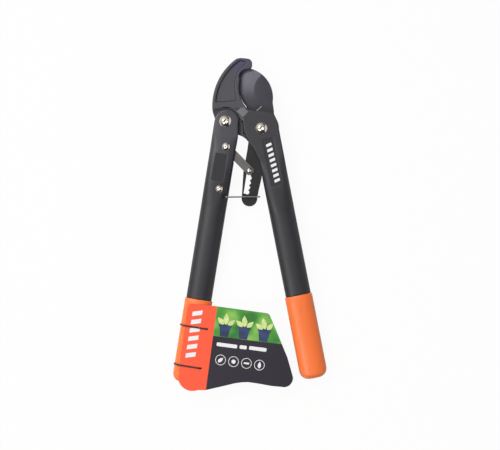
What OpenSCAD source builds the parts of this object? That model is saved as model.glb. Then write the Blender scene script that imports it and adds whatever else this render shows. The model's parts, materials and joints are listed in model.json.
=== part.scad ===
// Two-handed ratchet bypass shears, closed and latched, lying on the back.
// +Y runs to the hook, +Z up out of the front faces. Lengths are in millimetres.
// Pieces are drawn about the blade pivot, and placed() moves them to the bottom centre.

/* [Handles] */
// Width of each oval handle across the tool
handle_w = 32.2; // [29:0.1:34]
// Thickness of each oval handle, front to back
handle_t = 23; // [20:0.5:24]
// Wall of the hollow handles
handle_wall = 3.2; // [2.4:0.1:4.4]
// Left handle from its hinge to the end of its grip
left_len = 333; // [300:1:370]
// Right handle from the blade pivot to the end of its grip
right_len = 321.5; // [290:0.5:355]
// Lean of the left handle away from the long axis, degrees
left_lean = 9.16; // [8:0.1:11]
// Lean of the right handle away from the long axis, degrees
right_lean = 11.1; // [10:0.1:13]
// Left handle's centreline, to the right of its hinge
left_offset = 2.2; // [1.4:0.1:3]
// Right handle's centreline, to the right of the blade pivot
right_offset = 5.2; // [4.4:0.1:6]

/* [Grips] */
// Length of each grip sleeve
grip_len = 106.5; // [80:0.5:125]
// Width of each grip sleeve
grip_w = 34.8; // [33:0.1:37]
// Wall of the grip sleeves
grip_wall = 2.8; // [2:0.1:4]
// Corner radius of the closed grip ends
grip_corner = 11; // [7:0.5:12]

/* [Heads] */
// Thickness of both heads and of the grips, which all rest on one plane
head_t = 25; // [24:0.5:28]
// Blade pivot to handle hinge, across
hinge_gap = 45.2; // [44.5:0.1:46.5]
// Handle hinge above the blade pivot
hinge_rise = 8.7; // [8:0.1:9.5]
// Thickness of the jaw lug between the fork's cheeks
lug_t = 11; // [10:0.2:12]
// Radius of the jaw lug
lug_r = 13.5; // [12.5:0.1:14]
// Front face of the jaw above the middle of the blade
jaw_level = 9; // [7.5:0.1:10.5]
// Radius of the left head's round end
fork_r = 15; // [14.4:0.1:15.6]
// Radius of the right head about the blade pivot
head_r = 22; // [21.6:0.1:23]
// Depth of the sunk panel in the jaw's face
panel_depth = 2.5; // [1:0.1:3.5]
// Rim left along the jaw's outer edge
rim_outer = 4.2; // [3:0.1:6]
// Rim left along the jaw's cutting mouth
rim_inner = 5.8; // [4.5:0.1:8]
// Clear gap between faces that turn past each other
side_gap = 0.6; // [0.5:0.05:0.8]
// Depth of the inlay recesses
inlay_depth = 0.8; // [0.6:0.1:1.2]
// Width of the right inlay's recess
right_inlay_w = 13.3; // [11:0.1:14]
// Length of the right inlay's recess
right_inlay_len = 59.5; // [50:0.5:60]
// Lower end of the right inlay's recess below the blade pivot
right_inlay_low = 74.5; // [72:0.5:76]
// Width of the left inlay's recess
left_inlay_w = 14.8; // [12:0.1:16]
// Length of the left inlay's recess
left_inlay_len = 34.5; // [30:0.5:36]
// Lower end of the left inlay's recess below the hinge
left_inlay_low = 75.5; // [73:0.5:77]

/* [Blade] */
// Thickness of the blade plate
blade_t = 4; // [3.4:0.1:4.4]
// Radius of the cutting edge
edge_r = 41; // [40.4:0.1:41.6]
// Radius of the blade's back edge
back_r = 38.6; // [38:0.1:39.2]
// Radius of the hub round the blade bolt
hub_r = 16; // [15:0.1:16.6]
// Fall of the ground bevel for each millimetre towards the edge
bevel_slope = 0.15; // [0.1:0.01:0.17]
// Radius of the tail's round end
tail_end_r = 9.9; // [9.5:0.1:10]
// Clear width of the ratchet slot at the tooth tips
slot_w = 5.4; // [5.2:0.1:5.8]
// Distance between neighbouring ratchet seats
seat_pitch = 6.1; // [5.6:0.1:6.4]
// Number of ratchet seats below the home seat
seat_count = 4; // [2:1:4]
// Home seat to the first ratchet seat
seat_first = 9.2; // [8:0.1:10]
// Radius of each ratchet seat
seat_r = 2.6; // [2.4:0.05:2.8]

/* [Link] */
// Link pivot to the left of the blade pivot
link_x = 44.4; // [44:0.1:45]
// Link pivot below the blade pivot
link_drop = 23.1; // [22.6:0.1:23.6]
// Ratchet pin to the left of the blade pivot
pin_x = 15.3; // [15:0.1:15.6]
// Ratchet pin below the blade pivot
pin_drop = 52.9; // [52.4:0.1:53.4]
// Width of the link straps
link_w = 10.5; // [9.5:0.1:11]
// Thickness of each link strap
link_t = 2; // [1.6:0.1:2.4]
// Diameter of the ratchet pin
pin_d = 4.6; // [4.2:0.1:4.8]
// Diameter of the ratchet pin's head
pin_head_d = 7.8; // [7:0.1:9]

/* [Latch] */
// Bail pivot to the left of the blade pivot
latch_x = 45.5; // [45:0.1:46]
// Bail pivot below the blade pivot
latch_drop = 86.3; // [86:0.1:87]
// Bail crossbar to the left of the blade pivot
bar_x = 2.3; // [2:0.1:2.5]
// Bail crossbar below the blade pivot
bar_drop = 86; // [85.6:0.1:87]
// Diameter of the bail's wire
wire_d = 1.6; // [1.4:0.1:1.8]
// Middle of each bail leg above the middle of the blade
leg_level = 9.2; // [9:0.1:9.8]

/* [Fasteners] */
// Diameter of the blade and handle bolts
bolt_d = 8; // [7:0.5:8]
// Diameter of the bolt heads
bolt_head_d = 15.5; // [14:0.1:16.5]
// Height of the domed bolt heads
bolt_head_h = 4; // [3:0.1:5]
// Outer diameter of the pivot bushes
bush_d = 12; // [11:0.1:13]
// Hexagon of the bolt nuts, across flats
nut_af = 13; // [12.5:0.1:13.5]
// Thickness of the bolt nuts
nut_t = 4; // [3:0.1:4.2]
// Diameter of the link and anchor screws
screw_d = 5; // [4:0.5:5]
// Diameter of the link screw's head
link_head_d = 11; // [9.5:0.1:12]
// Diameter of the anchor screw's head
anchor_head_d = 9.8; // [8.5:0.1:11]
// Hexagon of the screw nuts, across flats
small_nut_af = 8; // [7.8:0.1:9]
// Thickness of the screw nuts
small_nut_t = 3.4; // [2.6:0.1:4]
// Radial play of a shaft in its bore
play = 0.05; // [0.02:0.01:0.08]

/* [Ratchet spring] */
// Diameter of the spring wire
spring_d = 1.1; // [0.9:0.05:1.2]
// Mean radius of the spring's coil
coil_r = 4.2; // [4:0.1:4.4]
// Anchor screw below the link pivot, along the handle
anchor_drop = 53.6; // [50:0.1:56]
// Outer diameter of the anchor sleeve
sleeve_d = 7.6; // [7:0.1:8]

/* [Hang card] */
// Thickness of the card
card_t = 0.5; // [0.4:0.1:1]
// Width of the card's top edge from the left handle's centreline
card_reach = 88; // [70:1:92]
// Corner rounding of the card
card_corner = 6; // [3:0.5:8]
// Thickness of a card tie
tie_t = 1; // [0.8:0.1:1.4]
// Width of a card tie along the grip
tie_w = 1.8; // [1.4:0.1:3]
// Upper tie below the top of the grip
tie_upper = 35; // [25:0.5:45]
// Lower tie below the top of the grip
tie_lower = 85; // [75:0.5:92]

/* [Hidden] */
$fn = 48;

// Cuts run past faces by this much.
eps = 0.5;
// Faces that touch inside one body stand this far apart.
seat_gap = 0.05;

// Pivots in the plane of the blade.
hinge = [-hinge_gap, hinge_rise];
link_pivot = [-link_x, -link_drop];
pin_seat = [-pin_x, -pin_drop];
latch_pivot = [-latch_x, -latch_drop];
bar_seat = [-bar_x, -bar_drop];

// A point given in the row's plane, seen from the left handle's own frame.
function in_fork(p) = [
    (p[0] - hinge[0]) * cos(left_lean) - (p[1] - hinge[1]) * sin(left_lean),
    (p[0] - hinge[0]) * sin(left_lean) + (p[1] - hinge[1]) * cos(left_lean)
];
// A point along a direction.
function polar(c, r, a) = [c[0] + r * cos(a), c[1] + r * sin(a)];
// Points along an arc.
function arc(c, r, a0, a1, n) = [for (i = [0:n]) polar(c, r, a0 + (a1 - a0) * i / n)];
function bearing(a, b) = atan2(b[1] - a[1], b[0] - a[0]);

// Layers through the thickness, measured from the middle of the blade.
head_z = head_t / 2;
blade_z = blade_t / 2;
cheek_z = blade_z + side_gap;
lug_z = lug_t / 2;
fork_z = lug_z + side_gap;
jaw_z = blade_z + 0.15;
strap_in_z = blade_z + 0.3;
strap_out_z = strap_in_z + link_t;
washer_t = side_gap - 2 * seat_gap;

// Oval sections.
oval_points = 48;
oval_power = 2.3;
grip_core_w = grip_w - 2 * grip_wall;
grip_core_t = head_t - 2 * grip_wall;
grip_end_wall = 4;
flat_end = 86;
oval_start = 106;
cavity_start = 100;

// The jaw: outer arc, hook tip, throat fillet and cutting mouth.
outer_c = [11.6, 28];
outer_r = 73.7;
tip_c = [-18.2, 81.4];
tip_r = 6.5;
hook_top = 88.7;
throat_c = [-18.5, 64.5];
throat_r = 9.8;
mouth_c = [10.8, 52];
mouth_r = 39.4;
spine_r = mouth_r + 5.8;
step_r = 17.9;

// The blade: cutting edge, back edge and ground bevel.
edge_c = [11, 56];
back_c = [-24, 38.8];
bevel_c = [15, 48.5];
bevel_r = 24.5;
tail_c = [-15.2, -88.2];

// The ratchet slot leans with the tail.
slot_lean = 9;
pin_to_guide = slot_w / 2 - seat_gap;
slot_end = seat_first + seat_pitch * (seat_count - 1) + 2.1;

// Link and latch in the left handle's frame.
fork_link = in_fork(link_pivot);
fork_latch = in_fork(latch_pivot);
link_bearing = bearing(link_pivot, pin_seat);
link_len = norm(pin_seat - link_pivot);
latch_len = norm(bar_seat - latch_pivot);
latch_bearing = bearing(latch_pivot, bar_seat);
anchor = [fork_link[0], fork_link[1] - anchor_drop];
link_room = link_w / 2 + 1.2;

// Fasteners.
bolt_nut_pocket = nut_t + 0.4;
small_nut_pocket = small_nut_t + 0.4;
hex_scale = 1 / cos(30);

// Left edges of the inlay recesses, and the play of an inlay in its recess.
right_inlay_left = right_offset + 0.15 - right_inlay_w / 2;
left_inlay_left = left_offset - 0.7 - left_inlay_w / 2;
inlay_play = 0.1;

// Grips begin here below their pivots.
left_grip_top = left_len - grip_len;
right_grip_top = right_len - grip_len;

// The hang card lies on the left grip's front.
card_z = head_z + 0.1;
tie_floor = -head_z + tie_t + 0.1; // groove floor in the left sleeve
card_left = left_offset - 12;
card_top = left_grip_top + 5;
card_low = left_len + 8.3;
// Round lower left corner of the card.
card_curve_r = 18.3;
card_curve_c = [left_offset + 7.8, -card_low + card_curve_r];
// The ties pass through the card above the grip's inner side.
hole_u = left_offset + grip_w / 2 - 2.6;

// The whole tool's extents, which put the origin at its bottom centre.
left_edge = left_offset - grip_w / 2;
right_edge = right_offset + grip_w / 2;
x_low = hinge[0] + left_edge * cos(left_lean) - (left_len - grip_corner) * sin(left_lean);
x_high = right_edge * cos(right_lean) + (right_len - grip_corner) * sin(right_lean);
y_high = hook_top;
y_low = hinge[1] - card_curve_c[0] * sin(left_lean) + card_curve_c[1] * cos(left_lean) - card_curve_r;

module placed() {
    translate([-(x_low + x_high) / 2, -(y_low + y_high) / 2, head_z])
        children();
}

module in_left() {
    translate(hinge)
        rotate(-left_lean)
            children();
}

module in_right() {
    rotate(right_lean)
        children();
}

module slab(z_low, z_high) {
    translate([0, 0, z_low])
        linear_extrude(z_high - z_low)
            children();
}

module oval(w, t) {
    polygon([
        for (i = [0:oval_points - 1])
            let (c = cos(360 * i / oval_points), s = sin(360 * i / oval_points))
                [
                    w / 2 * sign(c) * pow(abs(c), 2 / oval_power),
                    t / 2 * sign(s) * pow(abs(s), 2 / oval_power)
                ]
    ]);
}

// An oval bar along a handle's axis, from one distance below the pivot to another.
module bar(offset, from, to, w, t) {
    translate([offset, -from, 0])
        rotate([90, 0, 0])
            linear_extrude(to - from)
                oval(w, t);
}

// Flat head section running into the oval handle.
module head_to_oval(offset) {
    hull() {
        translate([offset - handle_w / 2, -flat_end - 1, -head_z])
            cube([handle_w, 1, head_t]);
        bar(offset, oval_start, oval_start + 1, handle_w, handle_t);
    }
}

module hex_pocket(af, depth) {
    translate([0, 0, -head_z - eps])
        cylinder(d = (af + 0.2) * hex_scale, h = depth + eps, $fn = 6);
}

module through_bore(d) {
    cylinder(d = d + 2 * play, h = head_t + 2 * eps, center = true);
}

// Handle below its head: oval bar, grip core and the hollow inside.
module handle_bar(offset, grip_top, len) {
    head_to_oval(offset);
    bar(offset, oval_start, grip_top, handle_w, handle_t);
    bar(offset, grip_top, len - grip_end_wall, grip_core_w, grip_core_t);
}

module handle_cavity(offset, grip_top, len) {
    bar(offset, cavity_start, len, grip_core_w - 2 * handle_wall, grip_core_t - 2 * handle_wall);
    bar(offset, cavity_start, grip_top - 6, handle_w - 2 * handle_wall, handle_t - 2 * handle_wall);
}

module inlay_room(left, low, w, len) {
    translate([left, -low, head_z - inlay_depth])
        cube([w, len, inlay_depth + eps]);
}

module inlay(left, low, w, len) {
    translate([left + inlay_play, -low + inlay_play, head_z - inlay_depth + seat_gap])
        cube([w - 2 * inlay_play, len - 2 * inlay_play, inlay_depth - 0.3]);
}

module grip(offset, grip_top, len) {
    core_gap = 2 * seat_gap;
    difference() {
        intersection() {
            bar(offset, grip_top + seat_gap, len, grip_w, head_t);
            slab(-head_z, head_z) {
                translate([offset - grip_w / 2, -len + grip_corner])
                    square([grip_w, grip_len]);
                translate([offset - grip_w / 2 + grip_corner, -len])
                    square([grip_w - 2 * grip_corner, grip_corner + eps]);
                for (side = [-1, 1])
                    translate([offset + side * (grip_w / 2 - grip_corner), -len + grip_corner])
                        circle(r = grip_corner);
            }
        }
        bar(offset, grip_top - eps, len - grip_end_wall + seat_gap,
            grip_core_w + core_gap, grip_core_t + core_gap);
    }
}

// Domed head: a cap of a sphere with a hexagon socket. The shank hangs below it.
module dome(d, h, socket_af) {
    cap_r = (pow(d / 2, 2) + h * h) / (2 * h);
    difference() {
        intersection() {
            translate([0, 0, h - cap_r])
                sphere(r = cap_r, $fn = 64);
            cylinder(d = d, h = h);
        }
        translate([0, 0, h * 0.4])
            cylinder(d = socket_af * hex_scale, h = h, $fn = 6);
    }
}

module bolt(d, head_d, head_h, shank_end) {
    translate([0, 0, head_z + seat_gap])
        dome(head_d, head_h, d * 0.55);
    translate([0, 0, shank_end])
        cylinder(d = d, h = head_z + seat_gap - shank_end + head_h * 0.3);
}

module nut(af, t, bore) {
    translate([0, 0, -head_z + 0.3])
        difference() {
            cylinder(d = af * hex_scale, h = t, $fn = 6);
            translate([0, 0, -eps])
                cylinder(d = bore + 2 * play, h = t + 2 * eps);
        }
}

module ring(outer_d, bore, z_low, z_high) {
    translate([0, 0, z_low])
        difference() {
            cylinder(d = outer_d, h = z_high - z_low);
            translate([0, 0, -eps])
                cylinder(d = bore, h = z_high - z_low + 2 * eps);
        }
}

// ---- Jaw and right handle ----

module jaw_outline() {
    polygon(concat(
        arc(outer_c, outer_r, 184.7, 125.8, 24),
        [[-27, hook_top], [-21.5, hook_top - 0.3]],
        arc(tip_c, tip_r, 74, -12, 10),
        [[-11.9, 77.6], [-12.9, 75.8], [-14.8, 75.1], [-17.4, 74.7]],
        arc(throat_c, throat_r, 95, 178, 8),
        arc(mouth_c, mouth_r, 165, 226.5, 20),
        [[-10, 15], [-14, -2], [-22.4, -7.6], [-23.5, 8]],
        arc(hinge, step_r, 18, 95, 12)
    ));
}

module jaw_panel() {
    intersection() {
        polygon(concat(
            arc(outer_c, outer_r - rim_outer, 176, 124, 20),
            [[-25, 85.2], [-20.4, 84.3], [-19.2, 82.8], [-22.4, 80.4], [-30.4, 73]],
            arc(mouth_c, mouth_r + rim_inner, 158, 202, 14)
        ));
        translate([-60, 30.8])
            square([44, 56]);
    }
}

module lug_outline() {
    translate(hinge)
        circle(r = lug_r);
    polygon([
        polar(outer_c, outer_r, 172), polar(outer_c, outer_r, 178), polar(outer_c, outer_r, 184.7),
        polar(hinge, lug_r, 168), hinge, polar(hinge, lug_r, -72),
        [-33, -6.4], [-29.8, -7.4], [-24, -9.6], [-19.4, -12.9], [-17, -15.8], [-10, -10],
        [-14, 22], [-20, 30], [-34, 46]
    ]);
}

// Right head seen in the right handle's frame.
module head_outline() {
    edge = right_offset + handle_w / 2;
    inner = right_offset - handle_w / 2;
    circle(r = head_r);
    polygon([
        [-12.4, 25.3], [-9.4, 24.9], [1.3, 22], [14.4, 17.9], [18.9, 14.6], [20.5, 8.3],
        [edge + 0.2, -2], [edge, -14], [edge, -flat_end], [inner, -flat_end], [inner, -62],
        [-9.7, -46.6], [-10.5, -37.1], [-13.9, -25], [-18.9, -12.7], [-22.6, 0],
        [-22, 7], [-21.1, 16.1]
    ]);
}

// Sloping facet from the jaw's face up to the right head's face.
module head_ramp() {
    rise = head_z - jaw_level;
    run = 10.5;
    translate([-26.9, 25.1, jaw_level])
        rotate(-51.8)
            rotate([90, 0, 0])
                linear_extrude(11, center = true)
                    polygon([[0, 0], [run, rise], [run + 2, rise], [run + 2, -2], [0, -2]]);
}

// Room for the blade's hub, its back edge and the swing of its tail.
module blade_room() {
    circle(r = hub_r + 0.8);
    polygon([
        [45, 3], [45, 30], [-22, 30], [-19, 10], [-23, -5.5], [-29, -16.6], [-60, -40],
        [-60, -100], [-3, -100], [-1.6, -75], [0.4, -64.9], [3.8, -48], [9.8, -22],
        [16.6, -5], [24, -1]
    ]);
}

module jaw_handle() {
    color("#4b4b50")
        difference() {
            union() {
                in_right() {
                    slab(-head_z, head_z)
                        head_outline();
                    handle_bar(right_offset, right_grip_top, right_len);
                }
                slab(jaw_z, jaw_level)
                    jaw_outline();
                slab(-lug_z, jaw_z)
                    difference() {
                        union() {
                            jaw_outline();
                            lug_outline();
                        }
                        translate(mouth_c)
                            circle(r = spine_r, $fn = 96);
                    }
                slab(-lug_z, lug_z)
                    intersection() {
                        lug_outline();
                        translate([-70, -20])
                            square([60, 46]);
                    }
                head_ramp();
            }
            slab(-cheek_z, cheek_z)
                blade_room();
            slab(jaw_level - panel_depth, jaw_level + eps)
                jaw_panel();
            through_bore(bolt_d);
            hex_pocket(nut_af, bolt_nut_pocket);
            translate(hinge)
                through_bore(bush_d);
            in_right() {
                inlay_room(right_inlay_left, right_inlay_low, right_inlay_w, right_inlay_len);
                handle_cavity(right_offset, right_grip_top, right_len);
            }
        }
}

module right_inlay() {
    color("#3a3a3e")
        in_right()
            inlay(right_inlay_left, right_inlay_low, right_inlay_w, right_inlay_len);
}

module right_grip() {
    color("#ff7a3c")
        in_right()
            grip(right_offset, right_grip_top, right_len);
}

// ---- Fork and left handle ----

module fork_outline() {
    left = left_offset - handle_w / 2;
    right = left_offset + handle_w / 2;
    end_c = [left + fork_r, -0.5];
    translate(end_c)
        circle(r = fork_r);
    polygon([
        [left, -0.5], [left, -flat_end], [right, -flat_end], [right, -16],
        [end_c[0] + fork_r, -2], end_c
    ]);
}

// Open all round the lug, then open to the right where the link swings.
module fork_room() {
    turn = link_bearing + left_lean;
    foot = polar(fork_link, link_room, turn - 90);
    translate([-40, -15])
        square([80, 60]);
    translate(fork_link)
        circle(r = link_room);
    polygon([
        [fork_link[0] - link_room, fork_link[1]], [fork_link[0] - link_room, -14],
        [60, -14], polar(foot, 60, turn), foot
    ]);
}

module fork_handle() {
    channel_left = anchor[0] - sleeve_d / 2 - 0.6;
    channel_w = sleeve_d + 0.6 + 2.4;
    color("#4b4b50")
        in_left()
            difference() {
                union() {
                    slab(-head_z, head_z)
                        fork_outline();
                    handle_bar(left_offset, left_grip_top, left_len);
                }
                slab(-fork_z, fork_z)
                    fork_room();
                translate([channel_left, anchor[1] - sleeve_d / 2 - 1, -blade_z - 0.4])
                    cube([channel_w, anchor_drop + sleeve_d / 2, blade_t + 0.8]);
                through_bore(bolt_d);
                hex_pocket(nut_af, bolt_nut_pocket);
                for (p = [fork_link, anchor])
                    translate(p) {
                        through_bore(screw_d);
                        hex_pocket(small_nut_af, small_nut_pocket);
                    }
                inlay_room(left_inlay_left, left_inlay_low, left_inlay_w, left_inlay_len);
                handle_cavity(left_offset, left_grip_top, left_len);
                latch_relief();
            }
}

// Pivot holes of the bail and the flats its legs swing over.
module latch_relief() {
    floor_z = leg_level - wire_d - 0.1;
    hole_end = leg_level - 5;
    for (side = [-1, 1])
        mirror([0, 0, side < 0 ? 1 : 0]) {
            translate([fork_latch[0], fork_latch[1], hole_end])
                cylinder(d = wire_d + 2 * play, h = head_z);
            translate([fork_latch[0], fork_latch[1], floor_z])
                cylinder(r = 3.8, h = head_z);
            translate([fork_latch[0] - 1.2, fork_latch[1] - 22, floor_z])
                cube([20, 22, head_z]);
            translate([fork_latch[0], fork_latch[1] - 4, floor_z])
                cube([20, 7.8, head_z]);
        }
}

module left_inlay() {
    color("#3a3a3e")
        in_left()
            inlay(left_inlay_left, left_inlay_low, left_inlay_w, left_inlay_len);
}

module left_grip() {
    color("#ff7a3c")
        in_left()
            difference() {
                grip(left_offset, left_grip_top, left_len);
                for (drop = [tie_upper, tie_lower])
                    translate([left_offset - grip_w, -left_grip_top - drop - tie_w / 2 - play, -head_z - eps])
                        cube([2 * grip_w, tie_w + 2 * play, tie_floor + head_z + eps]);
            }
}

// ---- Blade ----

// Web under the ground blade, hub and ratchet tail.
module tail_outline() {
    polygon([
        [-19.2, 29.5], [-6, 36], [13.8, 36], [15.75, 22], [hub_r - 0.2, 2], [hub_r - 1, -6],
        [9, -22], [3, -48], [-0.4, -64.9], [-3.4, -77.5],
        [tail_c[0] + tail_end_r - 0.1, tail_c[1]], [tail_c[0] - tail_end_r + 0.1, tail_c[1]],
        [-22.9, -55], [-20.4, -41], [-17.9, -27], [-15.9, -12], [-hub_r + 0.2, 1], [-16.4, 14]
    ]);
}

module ratchet_slot() {
    home_r = slot_w / 2;
    translate(pin_seat)
        rotate(-slot_lean) {
            translate([0, 0.6])
                circle(r = home_r);
            translate([-home_r, -slot_end])
                square([slot_w, slot_end + 0.6]);
            for (i = [0:seat_count - 1])
                translate([home_r - 1, -seat_first - i * seat_pitch])
                    circle(r = seat_r);
        }
}

module blade_outline() {
    intersection() {
        translate(edge_c)
            circle(r = edge_r, $fn = 128);
        translate(back_c)
            circle(r = back_r, $fn = 128);
    }
}

module blade() {
    reach = 60;
    color("#4d4e56")
        difference() {
            union() {
                slab(-blade_z, blade_z)
                    blade_outline();
                slab(-blade_z, blade_z)
                    tail_outline();
                cylinder(r = hub_r, h = blade_t, center = true);
                translate([tail_c[0], tail_c[1], 0])
                    cylinder(r = tail_end_r, h = blade_t, center = true);
            }
            slab(-blade_z - eps, blade_z + eps)
                ratchet_slot();
            cylinder(d = bush_d + 2 * play, h = blade_t + 2 * eps, center = true);
            intersection() {
                translate(bevel_c)
                    rotate_extrude($fn = 128)
                        polygon([
                            [bevel_r, blade_z], [reach, blade_z - (reach - bevel_r) * bevel_slope],
                            [reach, blade_z + eps], [bevel_r, blade_z + eps]
                        ]);
                translate([-40, 27, -blade_z])
                    cube([52, 60, 2 * blade_t]);
            }
        }
}

module blade_bolt() {
    color("#d8d2c4")
        bolt(bolt_d, bolt_head_d, bolt_head_h, -head_z + 0.3);
}

module blade_nut() {
    color("#b8b8b4")
        nut(nut_af, nut_t, bolt_d);
}

module blade_bush() {
    color("#a8a090")
        ring(bush_d, bolt_d + 2 * play, -cheek_z + seat_gap, cheek_z - seat_gap);
}

module blade_washers() {
    color("#c0c0bc")
        for (z = [-cheek_z + seat_gap, blade_z + seat_gap])
            ring(22, bush_d + 2 * play, z, z + washer_t);
}

// ---- Hinge of the left handle ----

module handle_bolt() {
    color("#d8d2c4")
        translate(hinge)
            bolt(bolt_d, bolt_head_d, bolt_head_h, -head_z + 0.3);
}

module handle_nut() {
    color("#b8b8b4")
        in_left()
            nut(nut_af, nut_t, bolt_d);
}

module hinge_bush() {
    color("#a8a090")
        translate(hinge)
            ring(bush_d, bolt_d + 2 * play, -fork_z + seat_gap, fork_z - seat_gap);
}

module hinge_washers() {
    color("#c0c0bc")
        translate(hinge)
            for (z = [-fork_z + seat_gap, lug_z + seat_gap])
                ring(22, bush_d + 2 * play, z, z + washer_t);
}

// ---- Link, ratchet pin and spring ----

module link_screw() {
    color("#d8d2c4")
        translate(link_pivot)
            bolt(screw_d, link_head_d, 3, -head_z + 0.3);
}

module link_nut() {
    color("#b8b8b4")
        in_left()
            translate(fork_link)
                nut(small_nut_af, small_nut_t, screw_d);
}

module link_washers() {
    color("#c0c0bc")
        translate(link_pivot)
            for (z = [-fork_z + seat_gap, strap_out_z + seat_gap])
                ring(10, screw_d + 2 * play, z, z + fork_z - strap_out_z - 2 * seat_gap);
}

module link_spacer() {
    color("#a8a090")
        translate(link_pivot)
            ring(2 * coil_r - spring_d - 0.5, screw_d + 2 * play,
                -strap_in_z + seat_gap, strap_in_z - seat_gap);
}

module strap(z) {
    translate(link_pivot)
        rotate(link_bearing)
            difference() {
                slab(z, z + link_t) {
                    circle(d = link_w);
                    translate([0, -link_w / 2])
                        square([link_len + 3.4, link_w]);
                    translate([link_len + 1, -link_w / 2 + 1.6])
                        square([4, link_w - 3.2]);
                }
                cylinder(d = screw_d + 2 * play, h = head_t, center = true);
                translate([link_len, 0, 0])
                    cylinder(d = pin_d + 2 * play, h = head_t, center = true);
            }
}

module link_front() {
    color("#6e6a5e")
        strap(strap_in_z);
}

module link_back() {
    color("#6e6a5e")
        strap(-strap_out_z);
}

module ratchet_pin() {
    tail_end = strap_out_z + 1.6;
    color("#d8d2c4")
        translate(pin_seat) {
            translate([0, 0, strap_out_z + seat_gap])
                dome(pin_head_d, 2.2, 2.4);
            translate([0, 0, -tail_end])
                cylinder(d = pin_d, h = tail_end + strap_out_z + 0.6);
        }
}

module pin_washer() {
    color("#b8b8b4")
        translate(pin_seat)
            ring(pin_head_d, pin_d + 0.04, -strap_out_z - 1.3, -strap_out_z - seat_gap);
}

// Round wire along a list of points, closed at both ends.
module wire(points, d) {
    sides = 8;
    last = len(points) - 1;
    rings = [
        for (i = [0:last])
            let (
                t = points[min(i + 1, last)] - points[max(i - 1, 0)],
                f = t / norm(t),
                up = abs(f[2]) > 0.9 ? [1, 0, 0] : [0, 0, 1],
                a = cross(up, f) / norm(cross(up, f)),
                b = cross(f, a)
            )
            for (k = [0:sides - 1])
                points[i] + d / 2 * (cos(360 * k / sides) * a + sin(360 * k / sides) * b)
    ];
    walls = [
        for (i = [0:last - 1], k = [0:sides - 1])
            [
                i * sides + k, (i + 1) * sides + k,
                (i + 1) * sides + (k + 1) % sides, i * sides + (k + 1) % sides
            ]
    ];
    cap_low = [for (k = [0:sides - 1]) k];
    cap_high = [for (k = [sides - 1:-1:0]) last * sides + k];
    polyhedron(points = rings, faces = concat(walls, [cap_low, cap_high]));
}

// Torsion spring: one leg lies along the link, the other bears on the anchor sleeve.
module ratchet_spring() {
    pitch = spring_d + 0.1;
    along = link_bearing + left_lean;
    sweep = along - 90 + 3 * 360;
    steps = 44;
    rise = pitch * sweep / 360;
    coil = [
        for (i = [0:steps])
            let (a = sweep * i / steps)
                [
                    fork_link[0] + coil_r * cos(a), fork_link[1] + coil_r * sin(a),
                    -rise / 2 + rise * i / steps
                ]
    ];
    leg_start = [anchor[0] + sleeve_d / 2 + spring_d / 2 + 0.15, anchor[1] - 2, 0];
    tip = coil[steps] + [15 * cos(along), 15 * sin(along), 0];
    color("#8f8f8c")
        in_left()
            wire(concat([leg_start], coil, [tip]), spring_d);
}

module anchor_screw() {
    color("#d8d2c4")
        in_left()
            translate(anchor)
                bolt(screw_d, anchor_head_d, 2.8, -head_z + 0.3);
}

module anchor_nut() {
    color("#b8b8b4")
        in_left()
            translate(anchor)
                nut(small_nut_af, small_nut_t, screw_d);
}

module anchor_sleeve() {
    color("#a8a090")
        in_left()
            translate(anchor)
                ring(sleeve_d, screw_d + 2 * play, -blade_z - 0.35, blade_z + 0.35);
}

// ---- Storage bail ----

module latch_bail() {
    bend_r = wire_d;
    leg_end = latch_len - bend_r;
    pin_len = 4;
    color("#8d8880")
        translate(latch_pivot)
            rotate(latch_bearing) {
                for (side = [-1, 1])
                    mirror([0, 0, side < 0 ? 1 : 0]) {
                        translate([bend_r, 0, leg_level - bend_r])
                            rotate([90, 0, 0])
                                rotate([0, 0, 90])
                                    rotate_extrude(angle = 90)
                                        translate([bend_r, 0])
                                            circle(d = wire_d, $fn = 24);
                        translate([0, 0, leg_level - pin_len - 0.4])
                            cylinder(d = wire_d, h = pin_len + 0.4 - bend_r, $fn = 24);
                        translate([bend_r, 0, leg_level])
                            rotate([0, 90, 0])
                                cylinder(d = wire_d, h = leg_end - bend_r, $fn = 24);
                        translate([leg_end, 0, leg_level - bend_r])
                            rotate([90, 0, 0])
                                rotate_extrude(angle = 90)
                                    translate([bend_r, 0])
                                        circle(d = wire_d, $fn = 24);
                    }
                translate([latch_len, 0, 0])
                    cylinder(d = wire_d, h = 2 * (leg_level - bend_r), center = true, $fn = 24);
            }
}

// ---- Hang card and its ties ----

module card_outline() {
    reach = card_reach + left_offset;
    offset(r = card_corner)
        offset(delta = -card_corner)
            polygon(concat(
                [[card_left, -card_top - 1.5], [card_left + 30, -card_top + 0.2],
                 [reach + 2.2, -card_top + 1.9], [reach + 11.6, -card_top - 13]],
                [[reach + 33.8, -card_top - 49.2]],
                arc([reach + 33.6, -card_low + 34.4], 11.3, 20, -96, 12),
                [[reach + 20, -card_low + 22.3], [reach + 2, -card_low + 22.6]],
                [[reach - 10, -card_low + 22.4], [reach - 18, -card_low + 20.8],
                 [reach - 26, -card_low + 18.4], [reach - 35, -card_low + 14.6],
                 [reach - 53, -card_low + 7.3], [reach - 62, -card_low + 3.7]],
                arc(card_curve_c, card_curve_r, -60, -156, 12),
                [[card_left + 1.4, -card_low + 30]]
            ));
}

// Loop of the tie round the sleeve and the card edge. At the back it lies in the groove of the sleeve.
module tie_path() {
    intersection() {
        hull() {
            translate([left_offset, 0])
                oval(grip_w, head_t);
            translate([card_left - 0.3, 0])
                square([hole_u - card_left + 0.3, card_z + card_t + 0.1]);
        }
        translate([left_offset - 2 * grip_w, tie_floor])
            square([4 * grip_w, 4 * head_t]);
    }
}

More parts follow.
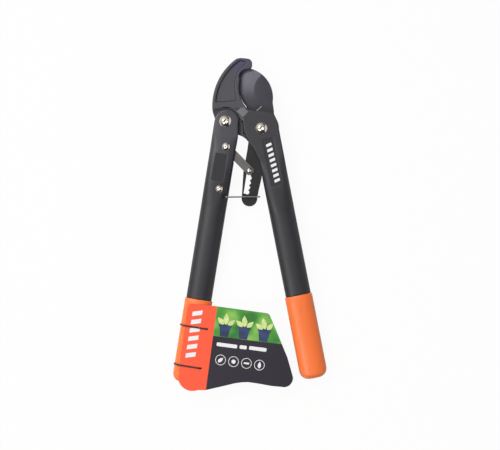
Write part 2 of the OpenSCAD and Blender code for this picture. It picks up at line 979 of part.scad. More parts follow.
module card_tie(drop) {
    color("#17171a")
        in_left()
            translate([0, -left_grip_top - drop, 0])
                rotate([90, 0, 0])
                    linear_extrude(tie_w, center = true)
                        difference() {
                            offset(r = tie_t + 0.1)
                                tie_path();
                            offset(r = 0.1)
                                tie_path();
                        }
}

module hang_card() {
    color("#3a3542")
        in_left()
            slab(card_z, card_z + card_t)
                difference() {
                    card_outline();
                    for (drop = [tie_upper, tie_lower])
                        translate([hole_u - 0.4, -left_grip_top - drop - tie_w / 2 - 0.3])
                            square([3.2, tie_w + 0.6]);
                }
}

module card_tie_upper() {
    card_tie(tie_upper);
}

module card_tie_lower() {
    card_tie(tie_lower);
}

placed() jaw_handle();
placed() right_grip();
placed() right_inlay();
placed() fork_handle();
placed() left_grip();
placed() left_inlay();
placed() blade();
placed() blade_bolt();
placed() blade_nut();
placed() blade_bush();
placed() blade_washers();
placed() handle_bolt();
placed() handle_nut();
placed() hinge_bush();
placed() hinge_washers();
placed() link_screw();
placed() link_nut();
placed() link_washers();
placed() link_spacer();
placed() link_front();
placed() link_back();
placed() ratchet_pin();
placed() pin_washer();
placed() ratchet_spring();
placed() anchor_screw();
placed() anchor_nut();
placed() anchor_sleeve();
placed() latch_bail();
placed() hang_card();
placed() card_tie_upper();
placed() card_tie_lower();
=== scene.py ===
"""Two-handed ratchet shears with a hang card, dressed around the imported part.

Every piece is built in metres in the part's own frame. Sizes inside the classes are in
millimetres, because that is how the tool is drawn, and MM turns them into metres. Angles
are in degrees. A place on a handle is given from the joint that the handle swings about, to
the right across the handle and up along it.
"""
from __future__ import annotations

import json
import logging
import math
from dataclasses import dataclass, replace
from enum import Enum
from typing import Any, Callable, Sequence

import bmesh
import bpy
import numpy as np
from mathutils import Vector
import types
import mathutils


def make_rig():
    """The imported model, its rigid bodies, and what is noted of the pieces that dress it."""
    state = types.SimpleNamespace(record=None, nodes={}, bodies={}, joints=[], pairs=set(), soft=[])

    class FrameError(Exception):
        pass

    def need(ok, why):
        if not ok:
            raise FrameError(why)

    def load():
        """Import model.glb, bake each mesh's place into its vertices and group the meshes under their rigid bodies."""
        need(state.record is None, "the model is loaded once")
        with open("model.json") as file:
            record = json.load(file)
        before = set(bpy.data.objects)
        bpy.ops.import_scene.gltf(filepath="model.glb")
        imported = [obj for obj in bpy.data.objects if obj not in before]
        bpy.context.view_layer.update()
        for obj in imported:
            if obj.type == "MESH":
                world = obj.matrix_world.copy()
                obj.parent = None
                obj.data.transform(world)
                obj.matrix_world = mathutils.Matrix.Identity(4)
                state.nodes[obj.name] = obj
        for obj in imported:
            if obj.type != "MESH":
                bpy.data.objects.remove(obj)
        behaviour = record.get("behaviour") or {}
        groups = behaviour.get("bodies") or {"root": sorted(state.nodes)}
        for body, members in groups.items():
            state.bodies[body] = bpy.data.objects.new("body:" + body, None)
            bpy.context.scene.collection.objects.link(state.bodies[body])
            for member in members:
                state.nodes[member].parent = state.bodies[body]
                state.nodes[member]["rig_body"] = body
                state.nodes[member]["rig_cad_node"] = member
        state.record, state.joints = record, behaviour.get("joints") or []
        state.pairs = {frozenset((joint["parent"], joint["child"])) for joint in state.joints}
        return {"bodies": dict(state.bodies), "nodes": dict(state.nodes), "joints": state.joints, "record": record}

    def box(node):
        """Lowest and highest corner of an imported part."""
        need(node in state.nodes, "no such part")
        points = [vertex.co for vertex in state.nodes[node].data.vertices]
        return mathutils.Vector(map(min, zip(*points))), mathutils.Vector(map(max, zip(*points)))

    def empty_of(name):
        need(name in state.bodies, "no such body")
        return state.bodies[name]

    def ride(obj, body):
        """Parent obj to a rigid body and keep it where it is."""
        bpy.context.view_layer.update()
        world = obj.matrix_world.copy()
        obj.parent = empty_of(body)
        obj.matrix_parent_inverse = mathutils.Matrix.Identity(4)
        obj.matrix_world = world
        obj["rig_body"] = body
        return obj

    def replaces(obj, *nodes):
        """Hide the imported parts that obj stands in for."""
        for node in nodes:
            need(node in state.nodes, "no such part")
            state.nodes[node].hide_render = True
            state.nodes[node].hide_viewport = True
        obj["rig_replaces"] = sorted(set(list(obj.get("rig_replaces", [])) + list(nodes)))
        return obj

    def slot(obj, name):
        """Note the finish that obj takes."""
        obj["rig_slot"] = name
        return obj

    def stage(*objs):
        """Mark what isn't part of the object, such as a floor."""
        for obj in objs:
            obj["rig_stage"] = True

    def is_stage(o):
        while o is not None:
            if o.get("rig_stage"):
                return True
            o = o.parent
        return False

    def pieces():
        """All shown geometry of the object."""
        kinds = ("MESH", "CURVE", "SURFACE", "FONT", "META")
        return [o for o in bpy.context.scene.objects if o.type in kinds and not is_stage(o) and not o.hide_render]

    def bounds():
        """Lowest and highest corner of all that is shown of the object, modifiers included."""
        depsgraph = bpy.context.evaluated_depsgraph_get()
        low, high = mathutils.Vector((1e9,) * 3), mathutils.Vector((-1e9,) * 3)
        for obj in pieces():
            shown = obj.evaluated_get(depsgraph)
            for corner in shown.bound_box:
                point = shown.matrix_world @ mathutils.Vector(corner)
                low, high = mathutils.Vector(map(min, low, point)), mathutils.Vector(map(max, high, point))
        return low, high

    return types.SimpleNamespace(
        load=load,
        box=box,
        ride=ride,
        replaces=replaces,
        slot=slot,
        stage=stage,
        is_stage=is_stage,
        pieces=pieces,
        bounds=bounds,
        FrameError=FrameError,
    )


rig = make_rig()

log = logging.getLogger("shears")

MM = 0.001
SIZE_FILE = "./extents.json"
# Height of the middle of both handles.
MIDDLE_Z = 12.5
# Least height of a unit normal for a face to count as facing up.
FACING_UP = 0.5
# Most that two faces of one flat surface lean against each other.
FLAT_ANGLE = 0.5
# Distance in metres at which two corners of the CAD surface are one.
WELD = 2e-6
# Values that the slow noise in a finish mostly stays between.
DRIFT_LOW, DRIFT_HIGH = 0.3, 0.7
# Width of a speck of colour, counted in grains of the surface.
SPECK_GRAINS = 1.7
LEAST_ROUGHNESS = 0.02
WHITE = (1.0, 1.0, 1.0, 1.0)

Point = tuple[float, float]
Tree = bpy.types.NodeTree
Socket = bpy.types.NodeSocket
Shape = bmesh.types.BMesh
Object = bpy.types.Object


class Side(Enum):
    """The two handles: joint, body, lean and the middle of the tube across from the joint."""

    LEFT = ("handle_hinge", "fork_side", -9.16, 2.2)
    RIGHT = ("blade_hinge", "jaw_side", 11.1, 5.2)

    def __init__(self, joint: str, body: str, lean: float, offset: float) -> None:
        """Keeps what belongs to one handle.

        Args:
            joint: Name of the joint that the handle swings about.
            body: Name of the body that it is part of.
            lean: How far it leans, in degrees, counterclockwise from upright.
            offset: Millimetres from the joint to the middle of the tube, to the right.
        """
        self.joint = joint
        self.body = body
        self.lean = math.radians(lean)
        self.offset = offset

    def place(self, u: float, v: float, z: float) -> Vector:
        """Turns a point of the handle into a point of the whole part.

        Args:
            u: Millimetres to the right of the joint, across the handle.
            v: Millimetres up along the handle, and negative below the joint.
            z: Millimetres above the plane that the tool lies on.

        Returns:
            The point in metres.
        """
        at = origin_of(self.joint)
        x = u * math.cos(self.lean) - v * math.sin(self.lean)
        y = u * math.sin(self.lean) + v * math.cos(self.lean)
        return Vector((at.x + x * MM, at.y + y * MM, z * MM))


class Patch(Enum):
    """Areas of a moulding, in the order of its material slots."""

    MOULDED = 0
    COARSE = 1
    # Faces that take the painted highlight on the slope under the jaw.
    SLOPE_HIGHLIGHT = 2


class Zone(Enum):
    """Printed areas of the card, in the order of its material slots."""

    BOARD = 0
    BAND = 1
    PICTURE = 2
    PANEL = 3


# ---- Node and colour helpers ----


def linear(code: str) -> tuple[float, float, float, float]:
    """Turns an sRGB hex colour into linear RGBA.

    Args:
        code: Colour such as "#4a4a4e".

    Returns:
        Linear red, green, blue and an alpha of 1.
    """
    parts = [int(code[i : i + 2], 16) / 255 for i in (1, 3, 5)]
    red, green, blue = (
        c / 12.92 if c <= 0.04045 else ((c + 0.055) / 1.055) ** 2.4 for c in parts
    )
    return red, green, blue, 1.0


def add_node(
    tree: Tree, kind: str, inputs: dict[Any, Any] | None = None, **settings: Any
) -> bpy.types.Node:
    """Adds a node with its settings and links.

    Args:
        tree: Node tree that takes the node.
        kind: Node type name.
        inputs: Socket name or index, to a value or to another node's output socket.
        settings: Properties of the node itself.

    Returns:
        The new node.
    """
    node = tree.nodes.new(kind)
    for name, value in settings.items():
        setattr(node, name, value)
    for key, value in (inputs or {}).items():
        if isinstance(value, Socket):
            tree.links.new(value, node.inputs[key])
        else:
            node.inputs[key].default_value = value
    return node


def per_mm(size: float) -> float:
    """Gives the pattern scale at which one feature is size millimetres wide."""
    return 1 / (size * MM)


# ---- Finishes ----


@dataclass(frozen=True)
class Finish:
    """A finish on a real material: the sockets every one of them sets.

    A moulded, ground or printed surface varies a little in shade and gloss. shade_mm and
    shade_by give the width and the strength of the shading, gloss_by the change in gloss,
    and grain_mm and grain_depth the width and height of the surface grain.
    """

    name: str
    colour: str
    roughness: float
    metallic: float = 0.0
    shade_mm: float = 30.0
    shade_by: float = 0.06
    gloss_by: float = 0.03
    grain_mm: float = 0.6
    grain_depth: float = 0.002

    def colour_socket(self, tree: Tree, place: Socket) -> Socket:
        """Builds the colour before its shading: one colour with paler specks.

        Args:
            tree: Node tree of the material.
            place: Object coordinates in metres.

        Returns:
            The colour output.
        """
        speck = add_node(
            tree,
            "ShaderNodeTexNoise",
            {
                "Vector": place,
                "Scale": per_mm(self.grain_mm * SPECK_GRAINS),
                "Detail": 2.0,
            },
        )
        base = linear(self.colour)
        lift = tuple(min(1.0, c * (1 + self.shade_by)) for c in base[:3]) + (1.0,)
        mix = add_node(
            tree,
            "ShaderNodeMix",
            {"Factor": speck.outputs["Fac"], 6: base, 7: lift},
            data_type="RGBA",
        )
        return mix.outputs[2]

    def dress(self, bsdf: bpy.types.Node) -> None:
        """Sets what only this finish has on its shader. The plain finish sets nothing."""

    def build(self) -> bpy.types.Material:
        """Builds the material.

        Returns:
            The material, made once and shared by name.
        """
        if self.name in bpy.data.materials:
            return bpy.data.materials[self.name]
        material = bpy.data.materials.new(self.name)
        material.use_nodes = True
        tree = material.node_tree
        tree.nodes.clear()
        place = add_node(tree, "ShaderNodeTexCoord").outputs["Object"]
        drift, grain = (
            add_node(
                tree,
                "ShaderNodeTexNoise",
                {"Vector": place, "Scale": per_mm(size), "Detail": detail},
            ).outputs["Fac"]
            for size, detail in ((self.shade_mm, 3.0), (self.grain_mm, 4.0))
        )
        ranges = (
            (1 - self.shade_by, 1 + self.shade_by),
            (
                max(LEAST_ROUGHNESS, self.roughness - self.gloss_by),
                min(1.0, self.roughness + self.gloss_by),
            ),
        )
        value, roughness = (
            add_node(
                tree,
                "ShaderNodeMapRange",
                {
                    "Value": drift,
                    "From Min": DRIFT_LOW,
                    "From Max": DRIFT_HIGH,
                    "To Min": low,
                    "To Max": high,
                },
            ).outputs["Result"]
            for low, high in ranges
        )
        shaded = add_node(
            tree,
            "ShaderNodeHueSaturation",
            {"Color": self.colour_socket(tree, place), "Value": value},
        )
        bump = add_node(
            tree,
            "ShaderNodeBump",
            {"Height": grain, "Strength": 1.0, "Distance": self.grain_depth * MM},
        )
        bsdf = add_node(
            tree,
            "ShaderNodeBsdfPrincipled",
            {
                "Base Color": shaded.outputs["Color"],
                "Metallic": self.metallic,
                "Roughness": roughness,
                "Normal": bump.outputs["Normal"],
            },
        )
        self.dress(bsdf)
        add_node(tree, "ShaderNodeOutputMaterial", {"Surface": bsdf.outputs["BSDF"]})
        return material


@dataclass(frozen=True)
class RubberFinish(Finish):
    """Soft thermoplastic rubber, overmoulded: light goes a little way in, and it has a sheen."""

    glow: float = 0.2
    glow_mm: float = 1.5
    sheen: float = 0.1
    sheen_roughness: float = 0.5

    def dress(self, bsdf: bpy.types.Node) -> None:
        """Sets the light that goes into the rubber and its dusty sheen.

        Args:
            bsdf: The shader node.
        """
        bsdf.inputs["Subsurface Weight"].default_value = self.glow
        bsdf.inputs["Subsurface Scale"].default_value = self.glow_mm * MM
        bsdf.inputs["Sheen Weight"].default_value = self.sheen
        bsdf.inputs["Sheen Roughness"].default_value = self.sheen_roughness


@dataclass(frozen=True)
class PlacedFinish(Finish):
    """A finish with features at known places, given in millimetres from one of the joints."""

    joint: str = "blade_hinge"

    def point(self, at: Point) -> Vector:
        """Turns a place from the joint into metres in the part's frame.

        Args:
            at: Millimetres to the right of the joint and above it.

        Returns:
            The point, at no height.
        """
        joint = origin_of(self.joint)
        return Vector((joint.x + at[0] * MM, joint.y + at[1] * MM, 0.0))

    def distance(self, tree: Tree, place: Socket, at: Point) -> Socket:
        """Measures from above how far the surface is from a place.

        Args:
            tree: Node tree of the material.
            place: Object coordinates in metres.
            at: Millimetres to the right of the joint and above it.

        Returns:
            The distance in metres.
        """
        flat = add_node(
            tree,
            "ShaderNodeVectorMath",
            {0: place, 1: (1.0, 1.0, 0.0)},
            operation="MULTIPLY",
        )
        apart = add_node(
            tree,
            "ShaderNodeVectorMath",
            {0: flat.outputs[0], 1: self.point(at)},
            operation="DISTANCE",
        )
        return apart.outputs["Value"]


@dataclass(frozen=True)
class PaintedLightFinish(PlacedFinish):
    """A moulded finish with painted light round one place: another tone that stands in for the light there.

    The tone is full up to near_mm from the place and gone at far_mm.
    """

    painted_tone: str = "#404047"
    centre: Point = (0.0, 0.0)
    near_mm: float = 14.0
    far_mm: float = 58.0

    def colour_socket(self, tree: Tree, place: Socket) -> Socket:
        """Builds the plain colour, turned to the painted light towards the place.

        Args:
            tree: Node tree of the material.
            place: Object coordinates in metres.

        Returns:
            The colour output.
        """
        share = add_node(
            tree,
            "ShaderNodeMapRange",
            {
                "Value": self.distance(tree, place, self.centre),
                "From Min": self.far_mm * MM,
                "From Max": self.near_mm * MM,
            },
            interpolation_type="SMOOTHSTEP",
        )
        mix = add_node(
            tree,
            "ShaderNodeMix",
            {
                "Factor": share.outputs["Result"],
                6: super().colour_socket(tree, place),
                7: linear(self.painted_tone),
            },
            data_type="RGBA",
        )
        return mix.outputs[2]


@dataclass(frozen=True)
class GroundBladeFinish(PlacedFinish):
    """Carbon steel plate under a dark non-stick coat, ground to a bevel round its edge.

    On the upper part of the ground bevel the coat is painted paler and bluish: painted light
    from above. On its lower part it is painted darker: painted shade. The coat is darkest on
    the blackened tail. Along a short stretch of the edge, and in a short line at the heel of
    the grind by the hub, the steel is bare and painted bright: real bare steel with a painted
    highlight.
    """

    # Painted light: the paler bluish tone on the bevel's upper part.
    bevel: str = "#5b5b68"
    # Painted shade: the darker tone on the bevel's lower part.
    painted_bevel_shade: str = "#33323a"
    tail: str = "#1e1e20"
    # Bare steel at the edge and at the grind's heel, painted bright: partly a painted highlight.
    bare_steel_glint: str = "#c9c8c6"
    bevel_centre: Point = (15.0, 48.5)
    edge_centre: Point = (12.9, 52.2)
    # Place and turn of the short painted highlight at the grind's heel by the hub.
    heel_glint_centre: Point = (-3.0, 25.5)
    heel_glint_turn: float = 42.0

    def colour_socket(self, tree: Tree, place: Socket) -> Socket:
        """Lays coat, painted light and painted shade on the bevel, blackened tail, and bare steel
        with painted highlights over each other.

        Args:
            tree: Node tree of the material.
            place: Object coordinates in metres.

        Returns:
            The colour output.
        """
        along = add_node(tree, "ShaderNodeSeparateXYZ", {0: place}).outputs["Y"]
        hub_y = self.point((0.0, 0.0)).y / MM
        heel_glint = add_node(
            tree,
            "ShaderNodeMapping",
            {
                "Vector": place,
                "Location": self.point(self.heel_glint_centre),
                "Rotation": (0.0, 0.0, math.radians(self.heel_glint_turn)),
            },
            vector_type="TEXTURE",
        )
        both_ways = add_node(
            tree, "ShaderNodeVectorMath", {0: heel_glint.outputs[0]}, operation="ABSOLUTE"
        )
        off = add_node(tree, "ShaderNodeSeparateXYZ", {0: both_ways.outputs[0]})
        # What each mask measures, and the two lengths in millimetres between which it rises
        # from 0 to 1.
        spans = {
            "bevel": (self.distance(tree, place, self.bevel_centre), 23.7, 25.2),
            "upper": (along, hub_y + 28, hub_y + 62),
            "lower": (along, hub_y + 52, hub_y + 30),
            "tail": (along, hub_y - 18, hub_y - 24),
            "edge": (self.distance(tree, place, self.edge_centre), 40.3, 40.6),
            "edge_above": (along, hub_y + 27, hub_y + 30),
            "edge_below": (along, hub_y + 43, hub_y + 40),
            "heel_glint_length": (off.outputs["X"], 4.2, 3.6),
            "heel_glint_width": (off.outputs["Y"], 0.5, 0.2),
        }
        masks = {
            name: add_node(
                tree,
                "ShaderNodeMapRange",
                {"Value": value, "From Min": low * MM, "From Max": high * MM},
                interpolation_type="SMOOTHSTEP",
            ).outputs["Result"]
            for name, (value, low, high) in spans.items()
        }
        # The bevel's two layers are painted light and painted shade; the two bright layers are bare steel with a
        # painted highlight.
        layers = (
            (self.bevel, ("bevel", "upper")),
            (self.painted_bevel_shade, ("bevel", "lower")),
            (self.tail, ("tail",)),
            (self.bare_steel_glint, ("edge", "edge_above", "edge_below")),
            (self.bare_steel_glint, ("heel_glint_length", "heel_glint_width")),
        )
        colour = super().colour_socket(tree, place)
        for code, names in layers:
            mask = masks[names[0]]
            for name in names[1:]:
                mask = add_node(
                    tree, "ShaderNodeMath", {0: mask, 1: masks[name]}, operation="MULTIPLY"
                ).outputs[0]
            colour = add_node(
                tree,
                "ShaderNodeMix",
                {"Factor": mask, 6: colour, 7: linear(code)},
                data_type="RGBA",
            ).outputs[2]
        return colour


@dataclass(frozen=True)
class PictureFinish(Finish):
    """Offset print of a lawn out of focus: soft patches of leaf green with pale spots."""

    deep: str = "#2f7a2c"
    pale: str = "#8cc25a"
    patch_mm: float = 22.0
    patch_roughness: float = 0.4
    stops: tuple[float, float, float] = (0.34, 0.5, 0.66)

    def colour_socket(self, tree: Tree, place: Socket) -> Socket:
        """Builds soft patches of three greens.

        Args:
            tree: Node tree of the material.
            place: Object coordinates in metres.

        Returns:
            The colour output.
        """
        patch = add_node(
            tree,
            "ShaderNodeTexNoise",
            {
                "Vector": place,
                "Scale": per_mm(self.patch_mm),
                "Detail": 1.0,
                "Roughness": self.patch_roughness,
            },
        )
        ramp = add_node(tree, "ShaderNodeValToRGB", {"Fac": patch.outputs["Fac"]})
        first, last = ramp.color_ramp.elements
        first.position, first.color = self.stops[0], linear(self.deep)
        last.position, last.color = self.stops[2], linear(self.pale)
        ramp.color_ramp.elements.new(self.stops[1]).color = linear(self.colour)
        return ramp.outputs["Color"]


# Glass-filled nylon, injection moulded in a spark-eroded tool: matte charcoal, with a grain
# of about 0.4 mm that is drawn twice as coarse so that it shows. The right handle is painted
# a little paler up at its head and darker down the tube: painted shade that damps the tube's
# highlight.
NYLON_RIGHT = PaintedLightFinish(
    "glass_filled_nylon_moulded",
    "#27272d",
    roughness=0.46,
    gloss_by=0.05,
    grain_mm=0.8,
    grain_depth=0.025,
    painted_tone="#2e2e35",
    near_mm=50.0,
    far_mm=110.0,
)
# The same nylon in the left handle, painted paler round a point in its head: painted light
# on the head.
NYLON_LEFT = PaintedLightFinish(
    "glass_filled_nylon_painted_light",
    "#29292f",
    roughness=0.43,
    gloss_by=0.05,
    grain_mm=0.8,
    grain_depth=0.025,
    joint="handle_hinge",
    centre=(-5.0, -18.0),
)
# The same nylon where the tool is eroded coarser: paler and matte.
NYLON_COARSE = Finish(
    "glass_filled_nylon_coarse",
    "#45454c",
    roughness=0.6,
    shade_mm=20.0,
    shade_by=0.08,
    gloss_by=0.04,
    grain_mm=1.1,
    grain_depth=0.06,
)
# The coarse nylon of the hook jaw, with painted bluish light at the hook's end.
NYLON_COARSE_BLUE_LIT = PaintedLightFinish(
    "glass_filled_nylon_coarse_blue_lit",
    "#45454c",
    roughness=0.6,
    shade_mm=20.0,
    shade_by=0.08,
    gloss_by=0.04,
    grain_mm=1.1,
    grain_depth=0.06,
    painted_tone="#44455b",
    centre=(-23.0, 86.0),
    near_mm=12.0,
    far_mm=28.0,
)
# The same nylon on the slope under the jaw, painted greyer and paler: a painted highlight
# where the slope faces the lamps.
NYLON_SLOPE_HIGHLIGHT = Finish(
    "glass_filled_nylon_slope_highlight",
    "#5f5f64",
    roughness=0.5,
    gloss_by=0.05,
    grain_mm=0.5,
    grain_depth=0.04,
)
# Plain ABS blanks pressed into the heads, moulded smooth: darker and glossier than nylon.
BLANK = Finish(
    "abs_blank_moulded",
    "#1f1e24",
    roughness=0.38,
    shade_mm=20.0,
    shade_by=0.05,
    gloss_by=0.04,
    grain_mm=0.7,
    grain_depth=0.01,
)
# The right blank is of a paler batch.
BLANK_PALE = replace(BLANK, name="abs_badge_moulded", colour="#26262b")
# Soft rubber sleeve over the nylon core: satin orange, finely grained.
RUBBER = RubberFinish(
    "orange_rubber_overmoulded",
    "#ff7c39",
    roughness=0.38,
    shade_mm=26.0,
    shade_by=0.03,
    gloss_by=0.05,
    grain_mm=0.9,
    grain_depth=0.02,
)
# Blade: carbon steel, laser cut, ground and spray coated. Dark, with a low metallic gloss,
# and painted light, shade and highlights on its bevel and edge.
BLADE_STEEL = GroundBladeFinish(
    "carbon_steel_coated_ground",
    "#34333d",
    roughness=0.42,
    metallic=0.25,
    shade_mm=14.0,
    gloss_by=0.06,
    grain_depth=0.006,
)
# Button-head bolts, barrel polished, nickel plated: warm mirror with faint polishing marks.
NICKEL = Finish(
    "steel_nickel_plated",
    "#e6ddd4",
    roughness=0.08,
    metallic=1.0,
    shade_mm=6.0,
    grain_mm=1.6,
    grain_depth=0.003,
)
# Nuts and washers, zinc plated: duller and bluer than nickel.
ZINC = Finish(
    "steel_zinc_plated",
    "#b3b7bd",
    roughness=0.36,
    metallic=1.0,
    shade_mm=5.0,
    shade_by=0.08,
    gloss_by=0.08,
    grain_mm=0.8,
    grain_depth=0.006,
)
# Sintered bronze bushes, oil filled: brown metal with fine pores.
BRONZE = Finish(
    "sintered_bronze_pressed",
    "#8a6a42",
    roughness=0.45,
    metallic=1.0,
    shade_mm=5.0,
    shade_by=0.1,
    gloss_by=0.08,
    grain_mm=0.5,
    grain_depth=0.01,
)
# Stamped straps, manganese phosphated and oiled: grey crystals, half matte.
PHOSPHATE = Finish(
    "steel_phosphated",
    "#676767",
    roughness=0.42,
    metallic=0.75,
    shade_mm=5.0,
    shade_by=0.12,
    gloss_by=0.08,
    grain_mm=0.7,
    grain_depth=0.012,
)
# Spring wire, drawn and oil tempered: blue black.
SPRING = Finish(
    "spring_wire_oil_tempered",
    "#44464c",
    roughness=0.34,
    metallic=0.9,
    shade_mm=4.0,
    shade_by=0.08,
    gloss_by=0.06,
    grain_depth=0.004,
)
# Storage bail, hard-drawn wire, bright zinc: mid grey with faint die marks.
WIRE = Finish(
    "wire_hard_drawn_zinc",
    "#9a9a9c",
    roughness=0.3,
    metallic=1.0,
    shade_mm=4.0,
    shade_by=0.08,
    gloss_by=0.06,
    grain_mm=0.5,
    grain_depth=0.004,
)
# Uncoated grey board at the card's back and cut edges: fibres of about a millimetre.
BOARD = Finish(
    "card_grey_board",
    "#b9b4aa",
    roughness=0.8,
    shade_mm=12.0,
    gloss_by=0.04,
    grain_mm=1.1,
    grain_depth=0.02,
)
# Offset print under a satin varnish: flat ink in which the board's fibres hardly show.
PRINT_BAND = Finish(
    "print_orange_varnished", "#ff5a36", roughness=0.36, shade_mm=40.0, shade_by=0.02
)
PRINT_PANEL = Finish(
    "print_slate_varnished", "#211b2a", roughness=0.36, shade_mm=40.0, shade_by=0.03
)
PRINT_WHITE = Finish("print_white_varnished", "#eef1f4", roughness=0.4, shade_by=0.01)
PRINT_POT = Finish(
    "print_navy_varnished",
    "#27375f",
    roughness=0.38,
    shade_mm=9.0,
    shade_by=0.35,
    grain_mm=1.4,
)
PRINT_LEAF = Finish(
    "print_pale_leaf",
    "#cfdf93",
    roughness=0.38,
    shade_mm=4.0,
    shade_by=0.14,
    grain_mm=1.0,
)
PRINT_LAWN = PictureFinish(
    "print_lawn_varnished", "#4fa03a", roughness=0.36, shade_mm=40.0, shade_by=0.03
)
# Twisted garden tie: wire in a black PVC sleeve, ribbed by the extruder.
TIE = Finish(
    "tie_black_pvc",
    "#17161a",
    roughness=0.4,
    shade_mm=5.0,
    shade_by=0.08,
    gloss_by=0.05,
    grain_mm=1.2,
    grain_depth=0.02,
)


# ---- Mesh helpers ----


def origin_of(joint: str) -> Vector:
    """Gives the place of a named joint in the part's frame, in metres."""
    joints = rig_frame["record"]["behaviour"]["joints"]
    return Vector(next(j["pos_m"] for j in joints if j["name"] == joint))


def finish_mesh(name: str, shape: Shape, crease: float) -> Object:
    """Turns a worked shape into an object, smooth where its faces meet gently.

    Args:
        name: Name of the piece.
        shape: The shape, which is freed.
        crease: Angle in degrees from which an edge stays sharp.

    Returns:
        The object, in the scene.
    """
    bmesh.ops.recalc_face_normals(shape, faces=shape.faces)
    limit = math.radians(crease)
    for face in shape.faces:
        face.smooth = True
    for edge in shape.edges:
        edge.smooth = edge.is_manifold and edge.calc_face_angle(0) < limit
    mesh = bpy.data.meshes.new(name)
    shape.to_mesh(mesh)
    shape.free()
    piece = bpy.data.objects.new(name, mesh)
    bpy.context.scene.collection.objects.link(piece)
    return piece


def copied_shape(node: str) -> Shape:
    """Copies a CAD node's surface with its split corners welded.

    Args:
        node: Name of the CAD node.

    Returns:
        A closed shape without normals or materials of its own.
    """
    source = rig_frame["nodes"][node].data
    shape = bmesh.new()
    corners = [shape.verts.new(v.co) for v in source.vertices]
    for polygon in source.polygons:
        shape.faces.new([corners[i] for i in polygon.vertices])
    bmesh.ops.remove_doubles(shape, verts=shape.verts, dist=WELD)
    bmesh.ops.dissolve_degenerate(shape, edges=shape.edges, dist=WELD)
    return shape


def flat_faced_shape(node: str) -> Shape:
    """Copies a CAD node's surface with every flat side as a single face.

    Args:
        node: Name of the CAD node.

    Returns:
        The closed shape.
    """
    shape = copied_shape(node)
    bmesh.ops.dissolve_limit(
        shape,
        angle_limit=math.radians(FLAT_ANGLE),
        verts=shape.verts,
        edges=shape.edges,
    )
    return shape


def bridge(
    shape: Shape,
    first: Sequence[bmesh.types.BMVert],
    second: Sequence[bmesh.types.BMVert],
) -> None:
    """Joins two closed rings of as many points with faces.

    Args:
        shape: The shape that holds both rings.
        first: Points of one ring, in order.
        second: Points of the other, in the same order.
    """
    count = len(first)
    for i in range(count):
        j = (i + 1) % count
        shape.faces.new((first[i], first[j], second[j], second[i]))


def prism(outline: Sequence[Vector], low: float, high: float) -> Shape:
    """Builds a closed plate from an outline.

    Args:
        outline: Corner points in metres, whose heights aren't used.
        low: Height of the underside in millimetres.
        high: Height of the top in millimetres.

    Returns:
        The plate.
    """
    shape = bmesh.new()
    rings = [[shape.verts.new((p.x, p.y, z * MM)) for p in outline] for z in (low, high)]
    shape.faces.new(rings[1])
    shape.faces.new(list(reversed(rings[0])))
    bridge(shape, rings[0], rings[1])
    return shape


def open_plate(
    outer: Sequence[Vector], inner: Sequence[Vector], low: float, high: float
) -> Shape:
    """Builds a closed plate with a hole, from two outlines of as many points.

    Args:
        outer: Outer outline in metres.
        inner: Outline of the hole in metres.
        low: Height of the underside in millimetres.
        high: Height of the top in millimetres.

    Returns:
        The plate.
    """
    shape = bmesh.new()
    rings = [
        [shape.verts.new((p.x, p.y, z * MM)) for p in outline]
        for outline, z in ((outer, low), (outer, high), (inner, high), (inner, low))
    ]
    for first, second in zip(rings, rings[1:] + rings[:1]):
        bridge(shape, first, second)
    return shape


def merged(parts: Sequence[Shape]) -> Shape:
    """Puts several shapes into one.

    Args:
        parts: The shapes, which are freed.

    Returns:
        The whole.
    """
    whole = bmesh.new()
    for part in parts:
        mesh = bpy.data.meshes.new("part")
        part.to_mesh(mesh)
        part.free()
        whole.from_mesh(mesh)
        bpy.data.meshes.remove(mesh)
    return whole


def loft(rings: Sequence[Sequence[Vector]]) -> Shape:
    """Builds a closed shape through rings of as many points, capped at both ends.

    Args:
        rings: Rings of points in metres, in order.

    Returns:
        The shape.
    """
    shape = bmesh.new()
    made = [[shape.verts.new(p) for p in ring] for ring in rings]
    for first, second in zip(made, made[1:]):
        bridge(shape, first, second)
    shape.faces.new(made[0])
    shape.faces.new(made[-1])
    return shape


def rounded_box(
    width: float, height: float, radius: float, centre: Point, steps: int = 5
) -> list[Point]:
    """Draws a rectangle with round corners, in millimetres.

    Args:
        width: Size across.
        height: Size along.
        radius: Corner radius.
        centre: Middle of the rectangle.
        steps: Facets in each corner.

    Returns:
        Its points, in order.
    """
    points = []
    for turn, (sx, sy) in enumerate(((1, 1), (-1, 1), (-1, -1), (1, -1))):
        for i in range(steps + 1):
            a = math.radians(90 * (turn + i / steps))
            points.append(
                (
                    centre[0] + sx * (width / 2 - radius) + radius * math.cos(a),
                    centre[1] + sy * (height / 2 - radius) + radius * math.sin(a),
                )
            )
    return points


def break_edges(
    piece: Object, width: float, from_angle: float = 40.0, segments: int = 2
) -> None:
    """Breaks the sharp edges of a plate or wire with a small round.

    Args:
        piece: The piece.
        width: Width of the round in millimetres.
        from_angle: Angle in degrees from which an edge is sharp.
        segments: Facets of the round.
    """
    bevel = piece.modifiers.new("broken_edges", "BEVEL")
    bevel.width = width * MM
    bevel.segments = segments
    bevel.limit_method = "ANGLE"
    bevel.angle_limit = math.radians(from_angle)


def finished(
    piece: Object, body: str, slot: str, *finishes: Finish, nodes: Sequence[str] = ()
) -> Object:
    """Puts a piece on its body, with its finish and the CAD nodes it stands for.

    Args:
        piece: The piece.
        body: Name of the body it rides on.
        slot: Material slot of the record that it takes its finish from.
        finishes: Finishes, in the order of its material slots.
        nodes: CAD nodes that it stands for.

    Returns:
        The piece.
    """
    for finish in finishes:
        piece.data.materials.append(finish.build())
    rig.ride(piece, body)
    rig.slot(piece, slot)
    if nodes:
        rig.replaces(piece, *nodes)
    log.info("%s rides on %s", piece.name, body)
    return piece


# ---- Sub-assemblies ----


